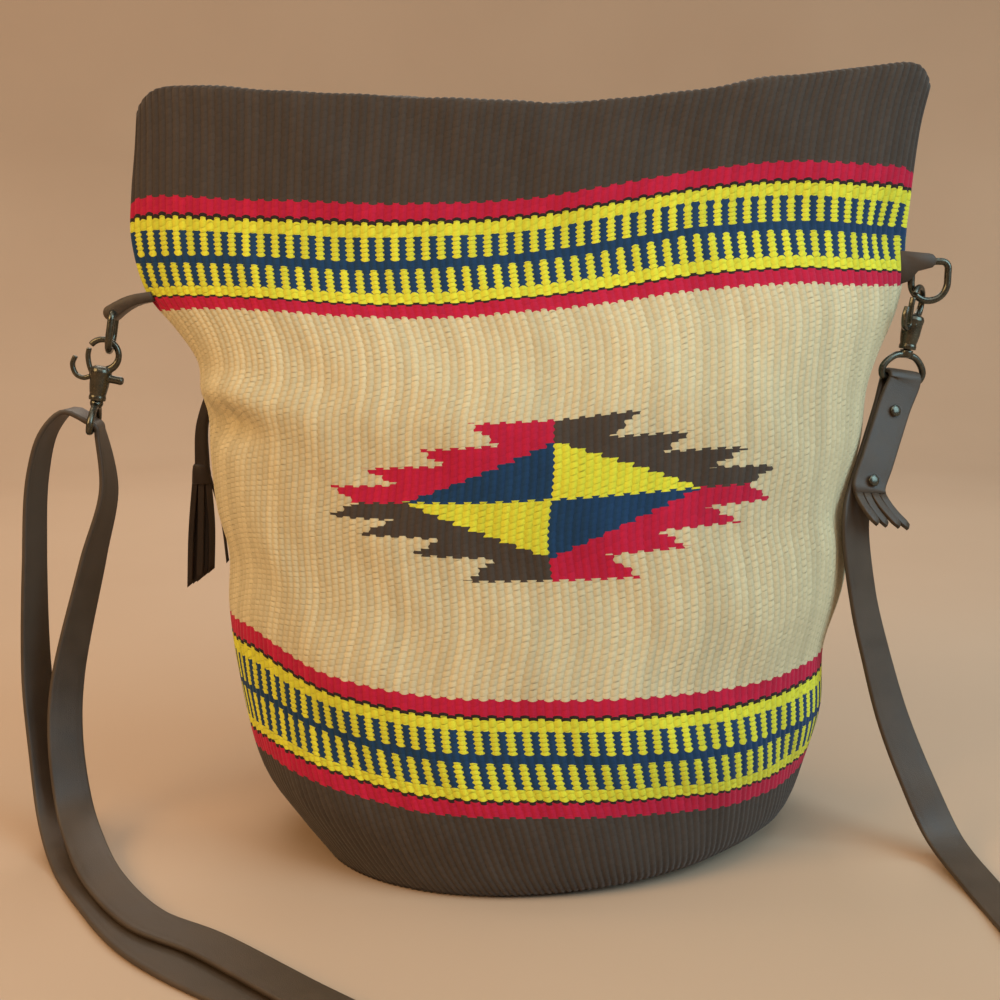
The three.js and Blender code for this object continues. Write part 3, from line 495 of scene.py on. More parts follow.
def finish_wool(tree, shader, colour, beads, bump_mm):
    """Paints shade into the joints between beads and a shadow into a few slits, varies the tone and raises
    the beads.
    """
    rounded = calc(tree, "POWER", calc(tree, "MAXIMUM", beads.outputs["Dome"], 0.0), WOOL["roundness"])
    parts = tree.nodes.new("ShaderNodeSeparateColor")
    tree.links.new(colour, parts.inputs[0])
    pale = calc(tree, "MINIMUM", calc(tree, "MULTIPLY", parts.outputs["Green"], WOOL["pale_gain"]), 1.0)
    # Painted shade: the colour is darker in the joints, where each bead's dome falls away.
    joint_shade = calc(tree, "MULTIPLY_ADD", pale, WOOL["pale_joint_shade"], WOOL["joint_shade"])
    painted_shading = calc(tree, "SUBTRACT", 1, calc(tree, "MULTIPLY", joint_shade, calc(tree, "SUBTRACT", 1, rounded)))
    # Painted shadow of a slit at the ends of a few pale beads.
    slit = calc(tree, "MULTIPLY_ADD", beads.outputs["Bead Chance"], WOOL["slit_shadow_gain"], -WOOL["slit_shadow_from"])
    slit = calc(tree, "MULTIPLY", calc(tree, "MAXIMUM", slit, 0.0), pale)
    slit = calc(tree, "MULTIPLY", calc(tree, "MULTIPLY", slit, WOOL["slit_shadow_darkness"]), beads.outputs["End"])
    painted_shading = calc(tree, "SUBTRACT", painted_shading, slit)
    tone = about_one(tree, beads.outputs["Bead Chance"], WOOL["bead_tone"])
    streak = about_one(tree, beads.outputs["Rib Chance"], WOOL["rib_tone"])
    strand = about_one(tree, beads.outputs["Fibre"], WOOL["strand_tone"])
    shade = calc(tree, "MULTIPLY", calc(tree, "MULTIPLY", painted_shading, tone), calc(tree, "MULTIPLY", strand, streak))
    tree.links.new(mix_colour(tree, 1.0, colour, vector_of(tree, shade, shade, shade), "MULTIPLY"),
                   shader.inputs["Base Color"])
    height = calc(tree, "MULTIPLY_ADD", beads.outputs["Fibre"], WOOL["strand_height"], rounded)
    relief = calc(tree, "MULTIPLY_ADD", pale, 1 - WOOL["dark_relief"], WOOL["dark_relief"])
    raise_surface(tree, shader, calc(tree, "MULTIPLY", height, relief), 0.7, bump_mm)


def attribute_value(tree, name):
    node = tree.nodes.new("ShaderNodeAttribute")
    node.attribute_name = name
    return node.outputs["Fac"]


def colour_ramp(tree, at, stops, interpolation="CONSTANT"):
    """Colours in steps or in slopes; stops are (start, colour) with starts from 0 to 1."""
    ramp = tree.nodes.new("ShaderNodeValToRGB")
    ramp.color_ramp.interpolation = interpolation
    elements = ramp.color_ramp.elements
    elements.remove(elements[1])
    for i, (start, colour) in enumerate(stops):
        element = elements[0] if i == 0 else elements.new(start)
        element.position = start
        element.color = (*colour, 1)
    tree.links.new(at, ramp.inputs["Fac"])
    return ramp.outputs["Color"]


def grey(level):
    return (level, level, level)


def from_band_start(tree, weft_pass):
    """Passes up from the first pass of the lower band, or of the upper one in the upper half."""
    in_upper = calc(tree, "GREATER_THAN", weft_pass, (LOWER_START + UPPER_END) / 2)
    return calc(tree, "SUBTRACT", calc(tree, "SUBTRACT", weft_pass, LOWER_START),
                calc(tree, "MULTIPLY", in_upper, UPPER_START - LOWER_START))


# The serrated diamond on the front, charted in ribs and in shares of its height from the middle outwards.
# Each tooth slants out from its root to its tip and then steps back to the next root.
DIAMOND = dict(rib=56.2, weft_pass=128.3, passes=23.6, ribs=33.5, inner_ribs=18.9, inner_share=0.72)
TEETH = table(
    "start end root tip",
    (0.0, 0.2, 25.5, 29.3),
    (0.23, 0.435, 20.2, 24.8),
    (0.465, 0.675, 13.8, 17.4),
    (0.71, 1.0, 7.1, 10.8),
)
# A band's chart runs on past the band, and the chart of the crowns also starts a few passes before it.
BAND_SPAN = 64
CROWN_LEAD = 8
BEAD_CROWN = 0.3
PANEL_BEAD_MM = 0.27

panel_wool, tree, shader = wool_material("panel_wool")
beads = place_group(tree, weft_beads)
tree.links.new(attribute_value(tree, "rib"), beads.inputs["Rib"])
true_pass = attribute_value(tree, "weft_pass")
tree.links.new(true_pass, beads.inputs["Pass"])
rib_number = beads.outputs["Rib Number"]
yarn_pass = beads.outputs["Yarn Pass"]

crown_place = calc(tree, "ADD", from_band_start(tree, true_pass), CROWN_LEAD)
crown_place = calc(tree, "MULTIPLY", crown_place, 1 / BAND_SPAN)
crown_stops = [(0.0, grey(0.5))]
crown_stops += [((row["start"] + CROWN_LEAD) / BAND_SPAN, grey(row["crown"] / 2 + 0.5)) for row in CROWNS]
crown_ramp = colour_ramp(tree, crown_place, crown_stops)
tree.links.new(calc(tree, "MULTIPLY_ADD", crown_ramp, 2 * BEAD_CROWN, -BEAD_CROWN), beads.inputs["Crown"])

in_band = from_band_start(tree, yarn_pass)
band_mask = calc(tree, "MULTIPLY", calc(tree, "GREATER_THAN", in_band, 0.0),
                 calc(tree, "LESS_THAN", in_band, BAND_PASSES))
band_place = calc(tree, "MULTIPLY", in_band, 1 / BAND_SPAN)
starts = np.concatenate([[0], np.cumsum([stripe["passes"] for stripe in BAND])])[:-1]
even_rib, odd_rib = (
    colour_ramp(tree, band_place, [(start / BAND_SPAN, YARNS[stripe[turn]])
                                   for start, stripe in zip(starts, BAND)])
    for turn in ("even", "odd"))
band_colour = mix_colour(tree, calc(tree, "FLOORED_MODULO", rib_number, 2), even_rib, odd_rib)
plain_brown = calc(tree, "ADD", calc(tree, "LESS_THAN", yarn_pass, LOWER_START),
                   calc(tree, "GREATER_THAN", yarn_pass, UPPER_END))
ground = mix_colour(tree, plain_brown, YARNS["cream"], YARNS["brown"])

from_middle = calc(tree, "SUBTRACT", calc(tree, "ADD", rib_number, 0.5), DIAMOND["rib"])
above_middle = calc(tree, "SUBTRACT", yarn_pass, DIAMOND["weft_pass"])
is_right = calc(tree, "GREATER_THAN", from_middle, 0)
is_above = calc(tree, "GREATER_THAN", above_middle, 0.0)
height_share = calc(tree, "DIVIDE", calc(tree, "ABSOLUTE", above_middle), DIAMOND["passes"])
tooth_stops = []
for tooth in TEETH:
    for place, reach in ((tooth["start"], tooth["root"]), (tooth["end"], tooth["tip"])):
        tooth_stops.append((place, grey(reach / DIAMOND["ribs"])))
teeth = colour_ramp(tree, height_share, tooth_stops, "LINEAR")
reach = calc(tree, "MULTIPLY", teeth, DIAMOND["ribs"])
ribs_out = calc(tree, "ABSOLUTE", from_middle)
in_diamond = calc(tree, "MULTIPLY", calc(tree, "LESS_THAN", ribs_out, reach),
                  calc(tree, "LESS_THAN", height_share, 1.0))
inner_sum = calc(tree, "ADD", calc(tree, "DIVIDE", ribs_out, DIAMOND["inner_ribs"]),
                 calc(tree, "DIVIDE", height_share, DIAMOND["inner_share"]))
in_inner = calc(tree, "LESS_THAN", inner_sum, 1.0)
crossed = calc(tree, "ABSOLUTE", calc(tree, "SUBTRACT", is_right, is_above))
outer_colour = mix_colour(tree, crossed, YARNS["brown"], YARNS["red"])
inner_colour = mix_colour(tree, crossed, YARNS["yellow"], YARNS["navy"])
diamond_colour = mix_colour(tree, in_inner, outer_colour, inner_colour)
with_diamond = mix_colour(tree, in_diamond, ground, diamond_colour)
finish_wool(tree, shader, mix_colour(tree, band_mask, with_diamond, band_colour), beads, PANEL_BEAD_MM)

rows, columns = panel.shape[:2]
row_a = np.repeat(np.arange(rows), columns)
column_a = np.tile(np.arange(columns), rows)
row_b = (row_a + 1) % rows
column_b = (column_a + 1) % columns
quads = np.stack([row_a * columns + column_a, row_a * columns + column_b,
                  row_b * columns + column_b, row_b * columns + column_a], 1)
body = add_piece("woven_body", panel.reshape(-1, 3), quads.tolist(), panel_wool, "bag", "woven_wool")
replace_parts(body, "body_panel")

# The weave is placed on each face's own corners, so that the last rib meets the first.
rib_next = np.append(rib_at[1:], RIBS)
corner_rib = np.stack([rib_at[column_a], rib_next[column_a], rib_next[column_a], rib_at[column_a]], 1)
row_pass = np.array([row["passes"] for row in panel_rows])
corner_pass = np.stack([row_pass[row_a], row_pass[row_a], row_pass[row_b], row_pass[row_b]], 1)
charted = dict(lower_start=LOWER_START, lower_end=LOWER_START + BAND_PASSES, middle=DIAMOND["weft_pass"],
               upper_start=UPPER_START, upper_end=UPPER_END)
rim_pass = outer_rows[-1][1]
chart_rows = [0, *charted.values(), rim_pass]
woven_at = [np.zeros_like(corner_rib)]
for edge, chart_row in charted.items():
    woven_at.append(chart_row + np.interp(corner_rib, column(DRAWN, "rib"), column(DRAWN, edge)))
woven_at.append(np.full_like(corner_rib, rim_pass))
drawn_pass = np.maximum(corner_pass - rim_pass, 0)
for i in range(len(chart_rows) - 1):
    share = np.clip((corner_pass - woven_at[i]) / (woven_at[i + 1] - woven_at[i]), 0, 1)
    drawn_pass = drawn_pass + share * (chart_rows[i + 1] - chart_rows[i])
for name, values in (("rib", corner_rib), ("weft_pass", drawn_pass)):
    weave = body.data.attributes.new(name, "FLOAT", "CORNER")
    weave.data.foreach_set("value", values.astype(np.float32).ravel())
row_map = lengths_along(panel[:, 0])
row_map = np.append(row_map, row_map[-1] + CLOTH) / (row_map[-1] + CLOTH)
corner_map = np.stack([corner_rib / RIBS, row_map[np.stack([row_a, row_a, row_a + 1, row_a + 1], 1)]], 2)
body.data.uv_layers.new(name="OFBake").uv.foreach_set("vector", corner_map.astype(np.float32).ravel())


# The oval base
# A stiff oval of brown wool cloth, woven as the panel is but without a pattern. It is sewn edge to edge
# into the foot of the tube, and the purse stands on it.

BASE_INSET = 2.3
BASE_THICK = 2.6
BASE_CHART = dict(rib_mm=3.1, pass_mm=1.33, start=100)
BASE_BEAD_MM = 0.4
BASE_RINGS = table("share drop", (0.02, 0.0), (0.6, 0.0), (0.97, 0.0), (0.992, 0.5), (1.0, 1.3))
BASE_STEPS = 144

base_wool, tree, shader = wool_material("base_wool")
place = tree.nodes.new("ShaderNodeTexCoord").outputs["Object"]
apart = tree.nodes.new("ShaderNodeSeparateXYZ")
tree.links.new(place, apart.inputs[0])
beads = place_group(tree, weft_beads)
for name, axis, step in (("Rib", "X", BASE_CHART["rib_mm"]), ("Pass", "Y", BASE_CHART["pass_mm"])):
    counted = calc(tree, "MULTIPLY_ADD", apart.outputs[axis], 1 / (step * MM), BASE_CHART["start"])
    tree.links.new(counted, beads.inputs[name])
base_colour = mix_colour(tree, beads.outputs["Bead Chance"], YARNS["brown"], YARNS["dark"])
finish_wool(tree, shader, base_colour, beads, BASE_BEAD_MM)

turn = full_turn(BASE_STEPS)
foot = SECTIONS[0]
half = ((foot["left"] + foot["right"]) / 2 - BASE_INSET, foot["depth"] - BASE_INSET)
base_rings = []
for top, rings in ((True, BASE_RINGS), (False, BASE_RINGS[::-1])):
    for ring in rings:
        x = (foot["right"] - foot["left"]) / 2 + half[0] * ring["share"] * np.cos(turn)
        y = half[1] * ring["share"] * np.sin(turn) + x * math.tan(math.radians(foot["swing"]))
        z = BASE_THICK - ring["drop"] if top else ring["drop"]
        base_rings.append(np.stack([x, y, np.full_like(turn, z)], 1))


def skin(rings, closed=False):
    """Points and faces of a skin over rings of points; open ends are capped."""
    count = len(rings[0])
    faces = []
    for i in range(len(rings) if closed else len(rings) - 1):
        here = i * count
        there = (i + 1) % len(rings) * count
        for k in range(count):
            beside = (k + 1) % count
            faces.append((here + k, here + beside, there + beside, there + k))
    if not closed:
        last = (len(rings) - 1) * count
        faces += [tuple(range(count))[::-1], tuple(range(last, last + count))]
    return np.concatenate(rings), faces


base = add_piece("oval_base", *skin(base_rings[::-1]), base_wool, "bag", "brown_wool")
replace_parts(base, "base_panel")


# The side tabs
# A strip of dark leather folded round each ring's bar, its ends sewn into the side seam. The left one is
# seen on edge, the right one flat.

RING_WIRE = 1.5
SIDES = {
    "left": dict(bar=Vector((-181.7, 0.5, 226.7)), ring_turn=100, ring_lean=10, bow_at=0,
                 lean=11, hook_turn=0, eye_turn=98),
    "right": dict(bar=Vector((169.2, 0, 248.4)), ring_turn=0, ring_lean=0, bow_at=-30,
                  lean=9, hook_turn=55, eye_turn=18),
}

# Leather is pebbled between its pores, creased over a few of them, and mottled over many. It is smoother
# where it is dark.
GRAIN = dict(pebble_edge=3, pebble_round=0.5, crease_scale=0.35, crease_height=0.8, tone_scale=0.06,
             rough_spread=0.24, height_mm=0.12)
leather_grain, given, made = new_group("leather_grain", ["Pores per mm"], ["Height", "Tone"])
place = leather_grain.nodes.new("ShaderNodeTexCoord").outputs["Object"]
scaled = leather_grain.nodes.new("ShaderNodeVectorMath")
scaled.operation = "SCALE"
leather_grain.links.new(place, scaled.inputs[0])
pores_per_m = calc(leather_grain, "MULTIPLY", given.outputs["Pores per mm"], 1 / MM)
leather_grain.links.new(pores_per_m, scaled.inputs["Scale"])
pores = leather_grain.nodes.new("ShaderNodeTexVoronoi")
pores.feature = "DISTANCE_TO_EDGE"
pores.inputs["Scale"].default_value = 1.0
leather_grain.links.new(scaled.outputs[0], pores.inputs["Vector"])
pebble = calc(leather_grain, "MULTIPLY", pores.outputs["Distance"], GRAIN["pebble_edge"])
pebble = calc(leather_grain, "POWER", calc(leather_grain, "MINIMUM", pebble, 1), GRAIN["pebble_round"])
crease = noise(leather_grain, scaled.outputs[0], GRAIN["crease_scale"], 4.0)
grain_height = calc(leather_grain, "MULTIPLY_ADD", crease, GRAIN["crease_height"], pebble)
leather_grain.links.new(grain_height, made.inputs["Height"])
grain_tone = noise(leather_grain, scaled.outputs[0], GRAIN["tone_scale"], 5.0)
leather_grain.links.new(grain_tone, made.inputs["Tone"])


def leather_material(name, dark, light, roughness, pores_per_mm):
    material, tree, shader = new_material(name)
    shader.inputs["Specular IOR Level"].default_value = 0.36
    grain = place_group(tree, leather_grain)
    grain.inputs["Pores per mm"].default_value = pores_per_mm
    tree.links.new(mix_colour(tree, grain.outputs["Tone"], dark, light), shader.inputs["Base Color"])
    smoothest = roughness - GRAIN["rough_spread"] / 2
    tree.links.new(calc(tree, "MULTIPLY_ADD", grain.outputs["Tone"], GRAIN["rough_spread"], smoothest),
                   shader.inputs["Roughness"])
    raise_surface(tree, shader, grain.outputs["Height"], 0.35, GRAIN["height_mm"])
    return material


strap_leather = leather_material("strap_leather", dark=(0.037, 0.025, 0.016), light=(0.078, 0.053, 0.035),
                                 roughness=0.5, pores_per_mm=1.4)

LEFT_TAB = dict(width=10.6, root_half=2.2, loop=3.3, arch=1.6, seam_around=-90.0, seam_z=230.0, tucked=2.5)
RIGHT_TAB = dict(thick=6.2, fold=3.2, fold_back=1.4, fold_up=0.2, lip_back=6.0, lip_drop=4.2, tucked=3.0,
                 foot_out=1.5, foot_up=0.5, foot_tucked=1.0)


def ribbon(middles, acrosses, section):
    """Rings of a strip: a flat section (across, out) set square to its centre line at every point."""
    middles = np.asarray(middles, float)
    along = np.gradient(middles, axis=0)
    along /= np.linalg.norm(along, axis=1, keepdims=True)
    rings = []
    for at, run, across in zip(middles, along, acrosses):
        across = across - run * np.dot(across, run)
        across = across / np.linalg.norm(across)
        out = np.cross(run, across)
        rings.append(np.array([at + across * u + out * v for u, v in section]))
    return rings


STRIP_CROWN = table("across height", (-0.5, 1.04), (0, 1.06), (0.5, 1.04))


def strip_section(width, thick, corner=0.45):
    """A flat strip's outline with rounded edges, and a low crown on both faces."""
    half, top = width / 2, thick / 2
    side = [(half - corner * (1 - math.sin(t)), top - corner * (1 - math.cos(t)))
            for t in np.radians([0, 30, 60, 90])]
    face = [(half * row["across"], top * row["height"]) for row in STRIP_CROWN]
    upper = [(-u, v) for u, v in side[::-1]] + face + side
    return upper + [(-u, -v) for u, v in upper]


def left_tab_outline():
    """The folded strip on edge, in X and Z: out over the seam, round the bar and back below."""
    seam = body_point(np.array([LEFT_TAB["seam_around"]]), along_at(np.array([LEFT_TAB["seam_z"]])))[0]
    bar = np.array([SIDES["left"]["bar"].x, SIDES["left"]["bar"].z])
    root = np.array([seam[0], seam[2]])
    run = (bar - root) / np.linalg.norm(bar - root)
    side = np.array([-run[1], run[0]])
    if side[1] < 0:
        side = -side
    root = root - run * LEFT_TAB["tucked"]
    outline = []
    for sign, shares in ((1, np.linspace(0, 1, 7)[:-1]), (-1, np.linspace(1, 0, 7)[1:])):
        if sign < 0:
            outline += [bar + LEFT_TAB["loop"] * (side * math.cos(t) + run * math.sin(t))
                        for t in np.linspace(0, math.pi, 15)]
        for share in shares:
            half = LEFT_TAB["root_half"] + (LEFT_TAB["loop"] - LEFT_TAB["root_half"]) * share ** 2
            arch = LEFT_TAB["arch"] * math.sin(math.pi * share)
            outline.append(root + (bar - root) * share + side * (sign * half + arch))
    return np.array(outline)


def flat_rings(outline, edges):
    """Rings of a flat piece in X and Z; edges are (y, how far its outline is drawn in)."""
    offset = outline - outline.mean(0)
    offset = offset / np.linalg.norm(offset, axis=1, keepdims=True)
    return [np.array([(x, y, z) for x, z in outline - offset * inward]) for y, inward in edges]


TAB_EDGE = table("back inward", (0.0, 0.8), (0.3, 0.3), (0.8, 0.0))


def tab_edges(half):
    front = [(row["back"] - half, row["inward"]) for row in TAB_EDGE]
    return front + [(-y, inward) for y, inward in front[::-1]]


strip_rings = flat_rings(left_tab_outline(), tab_edges(LEFT_TAB["width"] / 2))
left_tab = add_piece("left_leather_tab", *skin(strip_rings), strap_leather, "bag", "leather")
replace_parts(left_tab, "left_tab")

right_bar = SIDES["right"]["bar"]
tab_low, tab_high = (np.array(corner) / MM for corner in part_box("right_tab"))
# The flat wedge in X and Z: from the seam above the bar, round the fold, and back to the seam below.
fold_turn = np.radians([90, 60, 30, 0, -30, -60, -90])
fold_x = right_bar.x - RIGHT_TAB["fold_back"]
fold_z = right_bar.z + RIGHT_TAB["fold_up"]
seam_x = tab_low[0] - RIGHT_TAB["tucked"]
wedge = [(seam_x, tab_high[2])]
wedge += [(fold_x + RIGHT_TAB["fold"] * math.cos(t), fold_z + RIGHT_TAB["fold"] * math.sin(t))
          for t in fold_turn]
wedge += [(right_bar.x - RIGHT_TAB["lip_back"], right_bar.z - RIGHT_TAB["lip_drop"]),
          (tab_low[0] + RIGHT_TAB["foot_out"], tab_low[2] + RIGHT_TAB["foot_up"]),
          (seam_x, tab_low[2] - RIGHT_TAB["foot_tucked"])]
wedge_rings = flat_rings(np.array(wedge), tab_edges(RIGHT_TAB["thick"] / 2))
right_tab = add_piece("right_leather_tab", *skin(wedge_rings), strap_leather, "bag", "leather")
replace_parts(right_tab, "right_tab")


# The D-rings
# Dark plated bronze wire, bent to a straight bar that the tab holds and a round bow that hangs in the clasp's
# hook. The plating is mottled, and rubbed bright in small scuffs.

RING_WIDTH = 15.6
RING_DEPTH = 16.6
RING_CORNER = 3.0
RING_BAR = 3.0
BRONZE = dict(patina_scale=320.0, scuff_scale=1500.0, scuff_from=0.62, scuff_share=0.5, smoothest=0.18,
              rough_spread=0.22, scuff_mm=0.1)

bronze, tree, shader = new_material("antique_bronze")
shader.inputs["Metallic"].default_value = 0.9
place = tree.nodes.new("ShaderNodeTexCoord").outputs["Object"]
patina = noise(tree, place, BRONZE["patina_scale"], 4.0)
scuffs = noise(tree, place, BRONZE["scuff_scale"], 3.0)
worn = calc(tree, "GREATER_THAN", scuffs, BRONZE["scuff_from"])
worn = calc(tree, "MULTIPLY", worn, BRONZE["scuff_share"])
toned = mix_colour(tree, patina, (0.050, 0.050, 0.040), (0.120, 0.115, 0.090))
tree.links.new(mix_colour(tree, worn, toned, (0.21, 0.195, 0.14)), shader.inputs["Base Color"])
tree.links.new(calc(tree, "MULTIPLY_ADD", patina, BRONZE["rough_spread"], BRONZE["smoothest"]),
               shader.inputs["Roughness"])
raise_surface(tree, shader, scuffs, 0.15, BRONZE["scuff_mm"])


def wire(path, radius, sides=18, closed=False):
    """Rings of a round wire along a path; radius is one number or one for each point."""
    path = np.asarray(path, float)
    radii = np.broadcast_to(np.asarray(radius, float), len(path))
    if closed:
        run = np.roll(path, -1, 0) - np.roll(path, 1, 0)
    else:
        run = np.gradient(path, axis=0)
    run /= np.linalg.norm(run, axis=1, keepdims=True)
    normal = np.cross(run[0], [0, 1, 0] if abs(run[0][1]) < 0.9 else [1, 0, 0])
    turn = full_turn(sides)
    rings = []
    for at, direction, size in zip(path, run, radii):
        normal = normal - direction * np.dot(normal, direction)
        normal /= np.linalg.norm(normal)
        other = np.cross(direction, normal)
        rings.append(at + size * (np.cos(turn)[:, None] * normal + np.sin(turn)[:, None] * other))
    return rings


def arc(middle, radius, start, end, count):
    """Points of an arc in X and Z, by degrees from +X."""
    turn = np.radians(np.linspace(start, end, count))
    return [(middle[0] + radius * math.cos(t), 0.0, middle[1] + radius * math.sin(t)) for t in turn]


def rotation(degrees, axis):
    return Matrix.Rotation(math.radians(degrees), 4, axis)


def moved(points, matrix):
    return np.array([matrix @ Vector(p) for p in np.asarray(points, float)])


half = RING_WIDTH / 2
ring_path = [(-RING_BAR, 0, 0), (0.0, 0, 0), (RING_BAR, 0, 0)]
ring_path += arc((half - RING_CORNER, -RING_CORNER), RING_CORNER, 90, 0, 7)
ring_path += arc((0, -(RING_DEPTH - half)), half, 0, -180, 31)
ring_path += arc((-half + RING_CORNER, -RING_CORNER), RING_CORNER, 180, 90, 7)
bow_of_ring = {}
for side, place in SIDES.items():
    hang = rotation(place["ring_turn"], "Z") @ rotation(place["ring_lean"], "X")
    frame_of_ring = Matrix.Translation(place["bar"]) @ hang
    bow_turn = math.radians(place["bow_at"])
    bow_of_ring[side] = frame_of_ring @ Vector((half * math.sin(bow_turn), 0,
                                                half - RING_DEPTH - half * math.cos(bow_turn)))
    points, faces = skin(wire(ring_path, RING_WIRE, closed=True), closed=True)
    ring = add_piece(f"{side}_ring", moved(points, frame_of_ring), faces, bronze, "bag", "bronze")
    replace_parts(ring, f"{side}_d_ring")


# The swivel clasps
# Cast bronze hooks closed by a sprung thumb lever; each turns on the headed post of a strap eye.
# A clasp is made about its own axis, with the hook's bend round the origin and the lever on -X.

HOOK = dict(radius=6.65, wire=1.35, start=-66, tip=150, root_swell=0.35, root_share=0.3, points=40)
BARREL_PROFILE = table(
    "radius z",
    (0.05, -4.9),
    (2.6, -5.0),
    (4.2, -5.8),
    (4.7, -7.2),
    (4.3, -9.8),
    (4.1, -13.5),
    (3.7, -16.4),
    (3.4, -17.6),
    (3.7, -18.6),
    (3.6, -20),
    (1.8, -20),
)
FINGER_REST = dict(start=2.5, middle=6, end=10.1, z=-9.8)
FINGER_REST_SIZES = [2.0, 1.9, 1.85, 1.8, 1.8, 1.8, 1.8, 1.85, 1.9, 1.3]
LEVER = dict(pivot_x=-3.0, pivot_z=-9.5, width=2.4, thick=2.0, edge=0.7, past_tip=14)
# The lever's long pin, and the short thick hub on it.
LEVER_PIVOT = table("radius half points", (0.9, 3.0, 5), (1.7, 1.2, 4))
LEVER_BAR = table("x z", (-3.0, -10.1), (-5.4, -5.5), (-6.5, -1.5))
LEVER_THUMB = table("x z", (-3.4, -9.7), (-7, -11.4), (-10.6, -10.4), (-12.6, -6.4), (-11.8, -2.6))
LEVER_STEPS = dict(bar=22, thumb=26)
EYE_DROP = 33.0
EYE_WIRE = 1.5
EYE_OUTLINE = table(
    "x z",
    (0, -22.3),
    (4.6, -23),
    (8, -25.4),
    (10.2, -28.6),
    (10.2, 1.9 - EYE_DROP),
    (8.8, -EYE_DROP),
)
EYE_STEPS = 97
POST_PROFILE = table(
    "radius z",
    (0.05, -14.8),
    (2.4, -14.8),
    (2.4, -17.9),
    (1.4, -17.9),
    (1.4, -20.3),
    (2.7, -20.3),
    (2.9, -21.6),
    (2.1, -23.4),
    (0.05, -23.9),
)
BOW_IN_HOOK = Vector((2.25, 0, 2.2))
CAST_GRAIN_MM = 0.24


def lathe(profile, sides=40):
    """Rings about Z from (radius, z) pairs."""
    turn = full_turn(sides)
    return [np.stack([r * np.cos(turn), r * np.sin(turn), np.full_like(turn, z)], 1) for r, z in profile]


def together(*solids):
    """Points and faces of several closed skins as one."""
    points, faces = [], []
    for solid_points, solid_faces in solids:
        start = sum(len(p) for p in points)
        points.append(solid_points)
        faces += [tuple(start + i for i in face) for face in solid_faces]
    return np.concatenate(points), faces


def cast(piece):
    """Melts a piece's overlapping skins into one casting with soft inside corners."""
    fuse = piece.modifiers.new("fuse", "REMESH")
    fuse.mode = "VOXEL"
    fuse.voxel_size = CAST_GRAIN_MM * MM
    fuse.use_smooth_shade = True
    soften = piece.modifiers.new("soften", "SMOOTH")
    soften.factor = 0.5
    soften.iterations = 5
    return piece


def smooth_line(points, count):
    """Evenly spread points on a smooth curve through a few points."""
    points = np.asarray(points, float)
    knots = lengths_along(points)
    at = np.linspace(0, knots[-1], count)
    return np.stack([smooth_column(knots, points[:, k], at) for k in range(3)], 1)


def turned_solid(table):
    return skin(lathe([(row["radius"], row["z"]) for row in table]))


def in_plane(table):
    return [(row["x"], 0.0, row["z"]) for row in table]


def hook_skins():
    """The barrel, the hook's bend, thicker at its root, and the finger rest on the far side of the lever."""
    bend = arc((0, 0), HOOK["radius"], HOOK["start"], HOOK["tip"], HOOK["points"])
    to_root = np.clip(1 - np.linspace(0, 1, HOOK["points"]) / HOOK["root_share"], 0, 1)
    bend_size = HOOK["wire"] * (1 + HOOK["root_swell"] * to_root)
    rest = [(FINGER_REST[place], 0, FINGER_REST["z"]) for place in ("start", "middle", "end")]
    rest = smooth_line(rest, len(FINGER_REST_SIZES))
    return together(turned_solid(BARREL_PROFILE), skin(wire(bend, bend_size)),
                    skin(wire(rest, FINGER_REST_SIZES)))


def lever_skins():
    """The bar that closes the hook, the thumb piece, and the pin and hub that they turn on."""
    tip = math.radians(HOOK["tip"] + LEVER["past_tip"])
    bar_end = (HOOK["radius"] * math.cos(tip), 0, HOOK["radius"] * math.sin(tip))
    bar = smooth_line([*in_plane(LEVER_BAR), bar_end], LEVER_STEPS["bar"])
    thumb = smooth_line(in_plane(LEVER_THUMB), LEVER_STEPS["thumb"])
    section = strip_section(LEVER["width"], LEVER["thick"], LEVER["edge"])
    skins = [skin(ribbon(path, np.tile([0.0, 1.0, 0.0], (len(path), 1)), section)) for path in (bar, thumb)]
    for row in LEVER_PIVOT:
        line = [(LEVER["pivot_x"], y, LEVER["pivot_z"])
                for y in np.linspace(-row["half"], row["half"], row["points"])]
        skins.append(skin(wire(line, row["radius"])))
    return together(*skins)


def eye_skins():
    """The wire loop that carries the strap, and the headed post that the hook turns on."""
    right = in_plane(EYE_OUTLINE)
    left = [(-x, y, z) for x, y, z in right[:0:-1]]
    loop = smooth_line([*right, (0, 0, -EYE_DROP), *left, right[0]], EYE_STEPS)[:-1]
    return together(skin(wire(loop, EYE_WIRE, closed=True), closed=True), turned_solid(POST_PROFILE))


eye_bar = {}
for side, place in SIDES.items():
    lean = rotation(place["lean"], "Y")
    hook_turn = rotation(place["hook_turn"], "Z")
    eye_turn = rotation(place["eye_turn"], "Z")
    origin = bow_of_ring[side] - lean @ (hook_turn @ BOW_IN_HOOK)
    clasp = Matrix.Translation(origin) @ lean
    for name, skins, turn, body_name in (
            ("hook", hook_skins, hook_turn, f"{side}_clasp"),
            ("lever", lever_skins, hook_turn, f"{side}_trigger"),
            ("eye", eye_skins, eye_turn, "bag")):
        points, faces = skins()
        points = moved(points, clasp @ turn)
        piece = add_piece(f"{side}_clasp_{name}", points, faces, bronze, body_name, "bronze")
        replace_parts(cast(piece), f"{side}_{name}")
    eye_bar[side] = dict(middle=np.array(clasp @ eye_turn @ Vector((0, 0, -EYE_DROP))),
                         across=np.array((clasp @ eye_turn).to_3x3() @ Vector((1, 0, 0))))


# The strap
# A strip of smooth dark leather with a line pressed along both edges. It is riveted round the right eye
# with its fringed tail left free, lies round in front, and runs doubled through the left eye to a slider.

